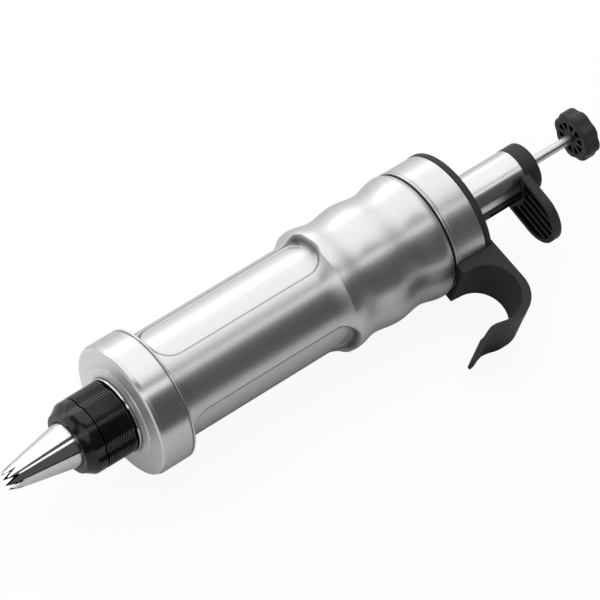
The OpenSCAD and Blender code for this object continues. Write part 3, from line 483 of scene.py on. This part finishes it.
def seat(piece, material, body, slotName, *stoodFor, smooth=35):
    # lays the piece down, smooths it, paints it and hangs it on its body
    pick(piece)
    bpy.ops.object.shade_smooth_by_angle(angle=math.radians(smooth))
    even = piece.modifiers.new("even normals", "WEIGHTED_NORMAL")
    even.keep_sharp = True
    bpy.ops.object.modifier_apply(modifier=even.name)
    piece.matrix_world = layMatrix @ piece.matrix_world
    bpy.ops.object.transform_apply(location=True, rotation=True, scale=True)
    paint(piece, material)
    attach(piece, body)
    if stoodFor:
        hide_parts(*stoodFor)
    print(piece.name, len(piece.data.polygons), "faces")


def arcPoints(centre, radius, start, end, count):
    angles = [math.radians(start + (end - start) * i / count) for i in range(count + 1)]
    return [(centre[0] + radius * math.cos(a), centre[1] + radius * math.sin(a)) for a in angles]


def near(corner, offsets):
    # points placed by their distance from a corner
    return [(corner[0] + across, corner[1] + along) for across, along in offsets]


def ease(t):
    return (1 - math.cos(math.pi * min(max(t, 0), 1))) / 2


# barrel shell: brushed tube with a wavy grip and three long sunk panels

barrelSet = {"radius": 25, "innerRadius": 23.3, "straight": 92, "end": 152.6, "endRadius": 28.2,
             "crests": [(99.5, 28.7), (101.7, 28.95), (112.65, 27.2), (124.9, 28.6), (137.15, 27.2),
                        (149.4, 29.4)],
             "sweep": 1.7, "gripFrom": 101.2, "gripWall": 1, "insideGap": 2,
             "rowGaps": [(13.4, 3.4), (24.6, 0.4), (89.8, 6), (101.4, 0.3)], "lastGap": 0.85,
             "panels": 3, "panelFloor": 23.6, "floorRise": 0.6, "panelHalf": 12.3, "panelCorner": 9,
             "panelFrom": 14.6, "panelTo": 100, "panelWall": 1.9, "creaseFade": 0.8,
             "edge": 0.25, "steps": 480}


def barrelRadius(z, barrel):
    knots = [(barrel["straight"], barrel["radius"])] + barrel["crests"]
    if z <= barrel["straight"]:
        return barrel["radius"]
    for (z0, r0), (z1, r1) in zip(knots, knots[1:]):
        if z <= z1:
            t = (z - z0) / (z1 - z0)
            # a hollow sweep up to a crisp ridge, then soft waves
            rise = t ** barrel["sweep"] if z0 == barrel["straight"] else ease(t)
            return r0 + (r1 - r0) * rise
    lastZ, lastRadius = knots[-1]
    t = (z - lastZ) / (barrel["end"] - lastZ)
    return lastRadius + (barrel["endRadius"] - lastRadius) * (1 - math.cos(math.pi / 2 * t))


def rowsBetween(start, end, gap):
    count = max(1, round((end - start) / gap))
    return [start + (end - start) * i / count for i in range(count)]


def barrelOutline(barrel):
    # rows lie close together where a panel begins or ends and along the grip
    rows, start = [], 0
    for end, gap in barrel["rowGaps"] + [(barrel["end"], barrel["lastGap"])]:
        rows += rowsBetween(start, end, gap)
        start = end
    outline = [(barrelRadius(z, barrel), z) for z in rows + [barrel["end"]]]
    inside = rowsBetween(barrel["gripFrom"], barrel["end"], barrel["insideGap"]) + [barrel["end"]]
    outline += [(barrelRadius(z, barrel) - barrel["gripWall"], z) for z in reversed(inside)]
    return outline + [(barrel["innerRadius"], barrel["gripFrom"]), (barrel["innerRadius"], 0)]


def sinkPanels(piece, barrel):
    centreZ = (barrel["panelFrom"] + barrel["panelTo"]) / 2
    halfZ = (barrel["panelTo"] - barrel["panelFrom"]) / 2
    turn = math.tau / barrel["panels"]
    crease = piece.data.attributes.new("crease", "FLOAT", "POINT")
    for v in piece.data.vertices:
        r = math.hypot(v.co.x, v.co.y) / mm
        if r < barrel["panelFloor"]:
            continue  # the inner wall stays round
        off = (math.atan2(v.co.y, v.co.x) + turn / 2) % turn - turn / 2
        sideways = abs(off) * barrel["radius"]
        # distance outside the panel's rounded outline, unrolled
        x = sideways - (barrel["panelHalf"] - barrel["panelCorner"])
        y = abs(v.co.z / mm - centreZ) - (halfZ - barrel["panelCorner"])
        outside = math.hypot(max(x, 0), max(y, 0)) + min(max(x, y), 0) - barrel["panelCorner"]
        sunk = ease((barrel["panelWall"] / 2 - outside) / barrel["panelWall"])
        # the crease mark tells the barrel material where to paint shade along the panel walls
        crease.data[v.index].value = (1 - abs(2 * sunk - 1)) ** barrel["creaseFade"]
        # the floor is a little flatter than the tube
        floor = barrel["panelFloor"] + barrel["floorRise"] * min(sideways / barrel["panelHalf"], 1) ** 2
        shrink = (r + (floor - r) * sunk) / r
        v.co.x *= shrink
        v.co.y *= shrink


def makeBarrel(barrel):
    piece = turned("barrelShell", barrelOutline(barrel), barrel["steps"])
    sinkPanels(piece, barrel)
    softenEdges(piece, barrel["edge"])
    seat(piece, barrelSteel, "barrel", "brushed_steel", "barrel_shell")


makeBarrel(barrelSet)


# front cap: turned, with a stepped face, a ring line and a bead on its skirt

capSet = {"radius": 30.5, "bore": 29.2, "hole": 13.4, "face": -6.1, "rim": -4.5, "inner": -1.8,
          "end": 11.8, "flatTo": 15.9, "domeFrom": 16.3, "domeTo": 21.4, "domeEdge": 0.08,
          "domeFall": 0.62, "domeShares": (0.35, 0.7, 1),
          "stepAt": 22, "step": [(-0.35, 0.85), (-0.15, 1.1), (0.2, 1.18)], "ringLine": (25.2, -4.7),
          "round": 1.9, "roundAt": 28.4, "corner": 0.8, "cornerAt": 2.5, "skirt": 5,
          "grooveAt": 10.7, "groove": [(0, -0.8), (-0.15, -0.55), (-0.6, -0.3), (-0.6, -0.05)],
          "bead": 0.5, "beadAt": 11.25, "chamfer": 0.3, "facing": 0.7, "steps": 192}


def makeCap(cap):
    outline = [(cap["hole"], cap["inner"]), (cap["hole"], cap["face"]), (cap["flatTo"], cap["face"])]
    domeStart = cap["face"] + cap["domeEdge"]
    domeWidth = cap["domeTo"] - cap["domeFrom"]
    outline += [(cap["domeFrom"] + domeWidth * t, domeStart + cap["domeFall"] * t * t)
                for t in (0,) + cap["domeShares"]]
    outline += near((cap["stepAt"], cap["face"]), cap["step"]) + [cap["ringLine"]]
    outline += arcPoints((cap["roundAt"], cap["rim"] + cap["round"]), cap["round"], -90, -35, 5)
    outline += arcPoints((cap["radius"] - cap["corner"], cap["rim"] + cap["cornerAt"]),
                         cap["corner"], -40, 0, 4)
    outline += [(cap["radius"], cap["skirt"])] + near((cap["radius"], cap["grooveAt"]), cap["groove"])
    outline += arcPoints((cap["radius"] - cap["bead"], cap["beadAt"]), cap["bead"], -80, 90, 8)
    outline += near((cap["bore"], cap["end"]), [(cap["chamfer"], 0), (0, -cap["chamfer"])])
    outline += [(cap["bore"], cap["inner"])]
    piece = turned("frontCap", outline, cap["steps"])
    seat(piece, capSteel, "cap", "brushed_steel", "front_cap", smooth=28)
    # the flat face was turned, not brushed, and gets a brighter copy of the steel with painted light
    piece.data.materials.append(turnedFaceBrightSteel)
    for face in piece.data.polygons:
        if face.normal.x < -cap["facing"]:
            face.material_index = 1


makeCap(capSet)


# collar band: turned, with a rolled bead and a fine line at its front edge

collarSet = {"radius": 29, "inner": 28, "start": 153.05, "end": 169.1, "chamfer": 0.2, "bead": 0.6,
             "beadRise": 0.2, "line": [(-0.25, 1.35), (-0.25, 1.55), (0, 1.95)],
             "rearEdge": [(0, -0.25), (-0.2, 0)], "steps": 192}


def makeCollar(collar):
    outline = near((collar["inner"], collar["start"]), [(0, collar["chamfer"]), (collar["chamfer"], 0)])
    outline += arcPoints((collar["radius"] - collar["bead"] + collar["beadRise"],
                          collar["start"] + collar["bead"]), collar["bead"], -90, 60, 6)
    outline += near((collar["radius"], collar["start"]), collar["line"])
    outline += near((collar["radius"], collar["end"]), collar["rearEdge"])
    outline += [(collar["inner"], collar["end"])]
    piece = turned("collarBand", outline, collar["steps"])
    seat(piece, steel, "barrel", "brushed_steel", "collar_band", smooth=28)


makeCollar(collarSet)


# end cap: satin black moulding with a rounded rear edge and a shallow dish

endCapSet = {"radius": 11.6, "bore": 10.62, "start": 207.7, "end": 216, "round": 1.6, "back": 213.5,
             "hole": 3.65, "chamfer": 0.25, "dish": 5.2, "dishWall": 0.3, "dishDepth": 0.35}


def makeEndCap(endCap):
    edge, rounding = endCap["chamfer"], endCap["round"]
    dishFloor = endCap["end"] - endCap["dishDepth"]
    outline = [(endCap["bore"], endCap["start"])]
    outline += near((endCap["radius"], endCap["start"]), [(-edge, 0), (0, edge)])
    outline += arcPoints((endCap["radius"] - rounding, endCap["end"] - rounding), rounding, 0, 90, 8)
    outline += [(endCap["dish"], endCap["end"]), (endCap["dish"] - endCap["dishWall"], dishFloor)]
    outline += near((endCap["hole"], dishFloor), [(edge, 0), (0, -edge)])
    outline += [(endCap["hole"], endCap["back"]), (endCap["bore"], endCap["back"])]
    seat(turned("endCap", outline), black, "barrel", "black_plastic", "end_cap", smooth=30)


makeEndCap(endCapSet)


# rear cover: a black ring on the band's end, with screw pillars inside

coverSet = {"radius": 27.95, "wall": 2.7, "front": 151.6, "spigot": 27.15, "start": 152.7, "chamfer": 0.2,
            "ring": 29.2, "ringFoot": 28.9, "ringStart": 169.2, "frontRound": 0.4, "rearRound": 1.1,
            "end": 172.4, "faceLine": 23, "dish": 13.4, "dishDepth": 0.4, "bore": 11.45, "boreEdge": 0.3,
            "webStart": 157.9, "webEnd": 159.9, "rodHole": 7.7, "bossWall": 3, "inside": 168.4,
            "pillars": 3, "pillar": 3.2, "pillarRing": 21.05, "pillarTurn": 60, "pillarEnd": 168.3,
            "pillarEdge": 0.3, "screw": 1.6, "steps": 192}


def coverRing(cover):
    inner = cover["radius"] - cover["wall"]
    boss = cover["bore"] + cover["bossWall"]
    dishFloor = cover["end"] - cover["dishDepth"]
    outline = [(inner, cover["front"]), (cover["spigot"], cover["front"]),
               (cover["spigot"], cover["start"])]
    outline += near((cover["radius"], cover["start"]), [(-cover["chamfer"], 0), (0, cover["chamfer"])])
    outline += [(cover["radius"], cover["ringStart"]), (cover["ringFoot"], cover["ringStart"])]
    outline += arcPoints((cover["ring"] - cover["frontRound"], cover["ringStart"] + cover["frontRound"]),
                         cover["frontRound"], -60, 0, 3)
    outline += arcPoints((cover["ring"] - cover["rearRound"], cover["end"] - cover["rearRound"]),
                         cover["rearRound"], 0, 90, 6)
    outline += [(cover["faceLine"], cover["end"]), (cover["dish"], cover["end"]),
                (cover["dish"] - cover["dishDepth"], dishFloor)]
    outline += near((cover["bore"], dishFloor), [(cover["boreEdge"], 0), (0, -cover["boreEdge"])])
    outline += [(cover["bore"], cover["webEnd"]), (cover["rodHole"], cover["webEnd"]),
                (cover["rodHole"], cover["webStart"]), (boss, cover["webStart"]),
                (boss, cover["inside"]), (inner, cover["inside"])]
    return turned("rearCover", outline, cover["steps"])


def screwPillar(cover):
    hole, radius, edge = cover["screw"], cover["pillar"], cover["pillarEdge"]
    front, end = cover["front"], cover["pillarEnd"]
    pillar = turned("pillar", [(hole, front), (radius - edge, front), (radius, front + edge),
                               (radius, end), (hole, end)], 32)
    at = math.radians(cover["pillarTurn"])
    pick(pillar)
    bpy.ops.transform.translate(value=Vector((math.cos(at), math.sin(at), 0)) * cover["pillarRing"] * mm)
    bpy.ops.object.transform_apply(location=True, rotation=False, scale=False)
    return pillar


def makeCover(cover):
    piece = joinAll([coverRing(cover)] + repeatRound(screwPillar(cover), cover["pillars"]))
    seat(piece, black, "barrel", "black_plastic", "rear_cover", smooth=30)


makeCover(coverSet)


# finger hook: moulded with the cover, an open arch for one finger with a flared lip

hookSet = {"width": 26.5, "collar": 29.1, "archAt": (44.5, 157.1), "archRadius": 13.5, "root": 2.3,
           "back": 3.5, "corner": 14, "tip": 139.3, "tipThickness": 1.5, "rise": 1.3, "flare": 2.5,
           "riseShare": 0.5, "foot": 152.7, "footTo": 30.6, "shoulder": (21.5, 173.1), "inner": 25,
           "saddleTop": 168.4, "ringStart": 169.2, "core": 5, "cutFrom": 100,
           "edge": 1.5, "edgeShares": [(166, 1), (150, 0.7), (0, 0.45)], "rootEdge": 0.25,
           "archSteps": 36, "lipSteps": 24, "cornerSteps": 24, "edgeSteps": 5, "saddleSteps": 192,
           "slack": 0.01}


def lipPoint(hook, t):
    # down the lip's inner side: in towards the barrel first, then out to the flared tip
    archX, archZ = hook["archAt"]
    x = archX + hook["archRadius"] - hook["rise"] * ease(t / hook["riseShare"])
    x += hook["flare"] * ease((t - hook["riseShare"]) / (1 - hook["riseShare"]))
    return x, archZ + (hook["tip"] - archZ) * t


def hookOutline(hook):
    archX, archZ = hook["archAt"]
    shares = [i / hook["lipSteps"] for i in range(1, hook["lipSteps"] + 1)]
    outline = [(hook["inner"], hook["foot"]), (hook["footTo"], hook["foot"])]
    outline += arcPoints(hook["archAt"], hook["archRadius"], 180, 0, hook["archSteps"])
    outline += [lipPoint(hook, t) for t in shares]
    for t in reversed(shares):
        x, z = lipPoint(hook, t)
        outline.append((x + hook["root"] + (hook["tipThickness"] - hook["root"]) * t, z))
    corner = (archX + hook["archRadius"] + hook["root"] - hook["corner"],
              archZ + hook["archRadius"] + hook["back"] - hook["corner"])
    outline += arcPoints(corner, hook["corner"], 0, 90, hook["cornerSteps"])
    return outline + [hook["shoulder"], (hook["shoulder"][0], hook["saddleTop"]),
                      (hook["inner"], hook["saddleTop"])]


def roundLongEdges(piece, hook):
    # the two long edges are rounder where the hook is thick
    weights = piece.data.attributes.new("bevel_weight_edge", "FLOAT", "EDGE")
    for edge in piece.data.edges:
        ends = [piece.data.vertices[i].co / mm for i in edge.vertices]
        if all(abs(end.y) > hook["width"] / 2 - hook["slack"] for end in ends):
            low = min(end.z for end in ends)
            shares = [share for above, share in hook["edgeShares"] if low > above]
            weights.data[edge.index].value = shares[0]
    bevel = piece.modifiers.new("round edges", "BEVEL")
    bevel.width = hook["edge"] * mm
    bevel.segments = hook["edgeSteps"]
    bevel.limit_method = "WEIGHT"
    pick(piece)
    bpy.ops.object.modifier_apply(modifier=bevel.name)


def makeHook(hook):
    points = [(x, hook["width"] / 2, z) for x, z in hookOutline(hook)]
    piece = pulled("fingerHook", points, (0, -hook["width"], 0))
    core, collar, low, top = hook["core"], hook["collar"], hook["cutFrom"], hook["ringStart"]
    saddle = turned("saddle", [(core, low), (collar, low), (collar, top), (core, top)], hook["saddleSteps"])
    cutWith(piece, saddle)
    roundLongEdges(piece, hook)
    softenEdges(piece, hook["rootEdge"])
    seat(piece, black, "barrel", "black_plastic", "rear_cover", smooth=40)


makeHook(hookSet)


# trigger: a recessed, ribbed blade astride the tube, and the web that enters the slit

triggerSet = {"halfWidth": 13.15, "reach": 34.9, "top": 8, "front": 203.5, "back": 207.4, "rim": 2,
              "recess": 2, "ribs": 4, "ribWidth": 1.3, "ribFrom": 5, "ribTo": 40, "ribDrop": 0.35,
              "ribHeight": 4, "bore": 11.7, "core": 0.5, "cutFrom": 190, "cutTo": 215, "edge": 0.55,
              "webWidth": 2.8, "webTop": 4.28, "foot": 200.6, "webEnd": 206.1, "webFoot": 11.1,
              "webStep": 12.7, "webIn": 0.3, "webEdge": 0.2}


def bladeShape(name, trigger, margin, start, end):
    half = trigger["halfWidth"] - margin
    top = trigger["top"] + margin
    outline = [(top, half), (top, -half)]
    outline += arcPoints((trigger["reach"] - trigger["halfWidth"], 0), half, -90, 90, 48)
    return pulled(name, [(x, y, start) for x, y in outline], (0, 0, end - start))


def tubeCutter(name, trigger, radius):
    core = trigger["core"]
    return turned(name, [(core, trigger["cutFrom"]), (radius, trigger["cutFrom"]),
                         (radius, trigger["cutTo"]), (core, trigger["cutTo"])])


def makeWeb(trigger):
    top, foot, step = trigger["webTop"], trigger["webFoot"], trigger["webStep"]
    inside = trigger["front"] + trigger["webIn"]
    outline = [(top, trigger["foot"]), (foot, trigger["foot"]), (foot, inside), (step, inside),
               (step, trigger["webEnd"]), (top, trigger["webEnd"])]
    width = trigger["webWidth"]
    web = pulled("web", [(x, width / 2, z) for x, z in outline], (0, -width, 0))
    softenEdges(web, trigger["webEdge"])
    return web


def makeTrigger(trigger):
    piece = bladeShape("thumbTrigger", trigger, 0, trigger["front"], trigger["back"])
    recess = bladeShape("recess", trigger, trigger["rim"], trigger["front"] - overshoot,
                        trigger["front"] + trigger["recess"])
    # a rim stays round the tube and ribs stay across the recess, so both are taken out of its cutter
    cutWith(recess, tubeCutter("boss", trigger, trigger["bore"] + trigger["rim"]))
    pitch = 2 * (trigger["halfWidth"] - trigger["rim"]) / (trigger["ribs"] + 1)
    for i in range(trigger["ribs"]):
        y0 = (i - (trigger["ribs"] - 1) / 2) * pitch - trigger["ribWidth"] / 2
        y1 = y0 + trigger["ribWidth"]
        z = trigger["front"] + trigger["ribDrop"]
        x0, x1 = trigger["ribFrom"], trigger["ribTo"]
        cutWith(recess, pulled("rib", [(x0, y0, z), (x1, y0, z), (x1, y1, z), (x0, y1, z)],
                               (0, 0, trigger["ribHeight"])))
    cutWith(piece, recess)
    cutWith(piece, tubeCutter("tubeHole", trigger, trigger["bore"]))
    softenEdges(piece, trigger["edge"], segments=3)
    piece = joinAll([piece, makeWeb(trigger)])
    seat(piece, black, "trigger", "black_plastic", "trigger", smooth=40)


makeTrigger(triggerSet)


# knob: eight soft lobes, and ten pockets between spokes in the face towards the tube

knobSet = {"radius": 11.7, "start": 241.6, "end": 249.3, "lobes": 8, "dipRadius": 7, "dip": 0.8,
           "phase": 8, "edge": 1.6, "rim": 2.2, "faceLine": 5.5, "hole": 3.25, "core": 0.4, "backWall": 1.4,
           "pockets": 10, "pocketIn": 4.4, "pocketOut": 7.7, "pocketDepth": 4.8, "spoke": 1.5,
           "pocketEdge": 0.2, "lobedFrom": 10, "steps": 256}
dipSoftness = 0.8


def dippedRadius(angle, shape):
    # the distance out to a ring of round dips, softly joined to the circle
    radius, dipRadius = shape["radius"], shape["dipRadius"]
    turn = 360 / shape["lobes"]
    off = math.radians((angle - shape["phase"] + turn / 2) % turn - turn / 2)
    centre = radius + dipRadius - shape["dip"]
    reach = dipRadius ** 2 - (centre * math.sin(off)) ** 2
    if reach <= 0:
        return radius
    hit = centre * math.cos(off) - math.sqrt(reach)
    blend = max(dipSoftness - abs(radius - hit), 0) / dipSoftness
    return min(radius, hit) - dipSoftness * blend * blend / 4


def knobPockets(knob):
    pockets = []
    half = 180 / knob["pockets"]
    inHalf = half - math.degrees(knob["spoke"] / 2 / knob["pocketIn"])
    outHalf = half - math.degrees(knob["spoke"] / 2 / knob["pocketOut"])
    for i in range(knob["pockets"]):
        mid = 360 * i / knob["pockets"]
        shape = arcPoints((0, 0), knob["pocketIn"], mid - inHalf, mid + inHalf, 4)
        shape += arcPoints((0, 0), knob["pocketOut"], mid + outHalf, mid - outHalf, 8)
        pockets.append(pulled("pocket", [(x, y, knob["start"] - overshoot) for x, y in shape],
                              (0, 0, knob["pocketDepth"] + overshoot)))
    return joinAll(pockets)


def makeKnob(knob):
    r, e, z0, z1 = knob["radius"], knob["edge"], knob["start"], knob["end"]
    outline = [(knob["hole"], z0), (knob["faceLine"], z0), (r - knob["rim"], z0), (r - e, z0)]
    outline += arcPoints((r - e, z0 + e), e, -80, 0, 6) + [(r, (z0 + z1) / 2)]
    outline += arcPoints((r - e, z1 - e), e, 0, 80, 6) + [(r - e, z1)]
    outline += [(r - knob["rim"], z1), (knob["core"], z1), (knob["core"], z1 - knob["backWall"]),
                (knob["hole"], z1 - knob["backWall"])]
    piece = turned("lobedKnob", outline, knob["steps"])
    for v in piece.data.vertices:
        # only the rounded outside is lobed
        if math.hypot(v.co.x, v.co.y) / mm > knob["lobedFrom"]:
            shrink = dippedRadius(math.degrees(math.atan2(v.co.y, v.co.x)), knob) / r
            v.co.x *= shrink
            v.co.y *= shrink
    cutWith(piece, knobPockets(knob))
    softenEdges(piece, knob["pocketEdge"], angle=60)
    seat(piece, black, "rod", "black_plastic", "knob", smooth=40)


makeKnob(knobSet)


# nozzle nut: glossy black, four lobes, a deep groove and fine ribs that follow the lobes

nutSet = {"radius": 16.7, "frontRadius": 13.8, "hole": 10.55, "start": -31.6, "bevelEnd": -26.7,
          "end": -7.6, "bore": 13.6, "seat": -21.8, "dipRadius": 7, "dip": 1.2, "lobes": 4, "phase": 61,
          "holeEdge": [(0, 0.3), (0.3, 0)], "frontEdge": [(-0.25, 0), (-0.05, 0.1), (0.05, 0.3)],
          "slopeFrom": 0.6, "slopeSag": 0.06, "slopeShares": (0.25, 0.5, 0.75, 0.92),
          "bevelEdge": [(-0.04, 0.35), (0, 1)],
          "groove": [(0, -1.5), (-0.9, -1.3), (-0.9, -0.9), (0, -0.7)],
          "ribStart": -21.4, "ribEnd": -8.4, "ribs": 11,
          "rib": [(0, 0), (-0.35, 0.06), (-0.35, 0.26), (0, 0.34), (0.1, 0.67)],
          "rearEdge": [(0, -0.5), (-0.15, -0.15), (-0.5, 0)], "boreEdge": [(0.4, 0), (0, -0.4)],
          "skin": 0.5, "sideFrom": -26.4, "steps": 288}


def nutOutline(nut):
    r, front, z0 = nut["radius"], nut["frontRadius"], nut["start"]
    slopeStart = z0 + nut["slopeFrom"]
    outline = near((nut["hole"], z0), nut["holeEdge"]) + near((front, z0), nut["frontEdge"])
    outline += [(front + (r - front) * t - nut["slopeSag"] * (1 - t),
                 slopeStart + (nut["bevelEnd"] - slopeStart) * t) for t in nut["slopeShares"]]
    outline += near((r, nut["bevelEnd"]), nut["bevelEdge"]) + near((r, nut["ribStart"]), nut["groove"])
    # each rib's points lie at shares of the pitch
    pitch = (nut["ribEnd"] - nut["ribStart"]) / nut["ribs"]
    for i in range(nut["ribs"]):
        outline += [(r + depth, nut["ribStart"] + (i + share) * pitch) for depth, share in nut["rib"]]
    outline += near((r, nut["end"]), nut["rearEdge"])
    outline += near((nut["bore"], nut["end"]), nut["boreEdge"])
    return outline + [(nut["bore"], nut["seat"]), (nut["hole"], nut["seat"])]


def makeNut(nut):
    piece = turned("nozzleNut", nutOutline(nut), nut["steps"])
    for v in piece.data.vertices:
        here = math.hypot(v.co.x, v.co.y) / mm
        if here < nut["bore"] + nut["skin"]:
            continue  # the bore stays round
        lobe = dippedRadius(math.degrees(math.atan2(v.co.y, v.co.x)), nut)
        # the grooves follow the dips, the front slope is only cut by them
        onSide = v.co.z / mm > nut["sideFrom"]
        shrink = lobe / nut["radius"] if onSide else min(lobe / here, 1)
        v.co.x *= shrink
        v.co.y *= shrink
    seat(piece, glossBlack, "nut", "nut_plastic", "nozzle_nut")


makeNut(nutSet)


# neck fitting: a bright turned collar between the cap and the nut

neckSet = {"radius": 17.3, "face": -6.15, "front": -7.3, "hole": 13.3, "bore": 9.5, "end": -19.5,
           "flange": 15.9, "inner": -1.75, "flangeEnd": -0.55, "tipEdge": [(-0.6, 0), (0, 0.6)],
           "frontEdge": [(-0.35, 0), (-0.1, 0.1), (0, 0.35)], "rearEdge": [(0, -0.2), (-0.2, 0)],
           "steps": 160}


def makeNeck(neck):
    outline = [(neck["bore"], neck["end"])] + near((neck["hole"], neck["end"]), neck["tipEdge"])
    outline += [(neck["hole"], neck["front"])] + near((neck["radius"], neck["front"]), neck["frontEdge"])
    outline += near((neck["radius"], neck["face"]), neck["rearEdge"])
    outline += [(neck["hole"], neck["face"]), (neck["hole"], neck["inner"]),
                (neck["flange"], neck["inner"]), (neck["flange"], neck["flangeEnd"]),
                (neck["bore"], neck["flangeEnd"])]
    piece = turned("neckFitting", outline, neck["steps"])
    seat(piece, polished, "cap", "polished_steel", "neck_fitting", smooth=30)


makeNeck(neckSet)


# return spring: the steel wire coil that the trigger presses together

springSet = {"radius": 5.31, "wire": 0.45, "start": 174.36, "end": 195.84, "coils": 6, "wall": 174.3,
             "travel": 14, "sides": 12, "steps": 40}


def makeSpring(spring):
    clearSelection()
    start = Vector((spring["radius"], 0, spring["start"] + spring["wire"])) * mm
    bpy.ops.mesh.primitive_circle_add(vertices=spring["sides"], radius=spring["wire"] * mm,
                                      rotation=(math.pi / 2, 0, 0), location=start)
    piece = bpy.context.object
    piece.name = "returnSpring"
    bpy.ops.object.transform_apply(location=True, rotation=True, scale=True)
    coil = piece.modifiers.new("coil", "SCREW")
    coil.screw_offset = (spring["end"] - spring["start"] - 2 * spring["wire"]) / spring["coils"] * mm
    coil.iterations = spring["coils"]
    coil.steps = spring["steps"]
    coil.render_steps = spring["steps"]
    bpy.ops.object.modifier_apply(modifier=coil.name)
    # the wire's two ends are closed
    bpy.ops.object.mode_set(mode="EDIT")
    bpy.ops.mesh.select_all(action="DESELECT")
    bpy.ops.mesh.select_non_manifold()
    bpy.ops.mesh.fill_holes(sides=0)
    bpy.ops.mesh.select_all(action="SELECT")
    bpy.ops.mesh.normals_make_consistent(inside=False)
    bpy.ops.object.mode_set(mode="OBJECT")
    seat(piece, springSteel, "barrel", "spring_steel", "return_spring", smooth=50)
    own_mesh(piece)


makeSpring(springSet)
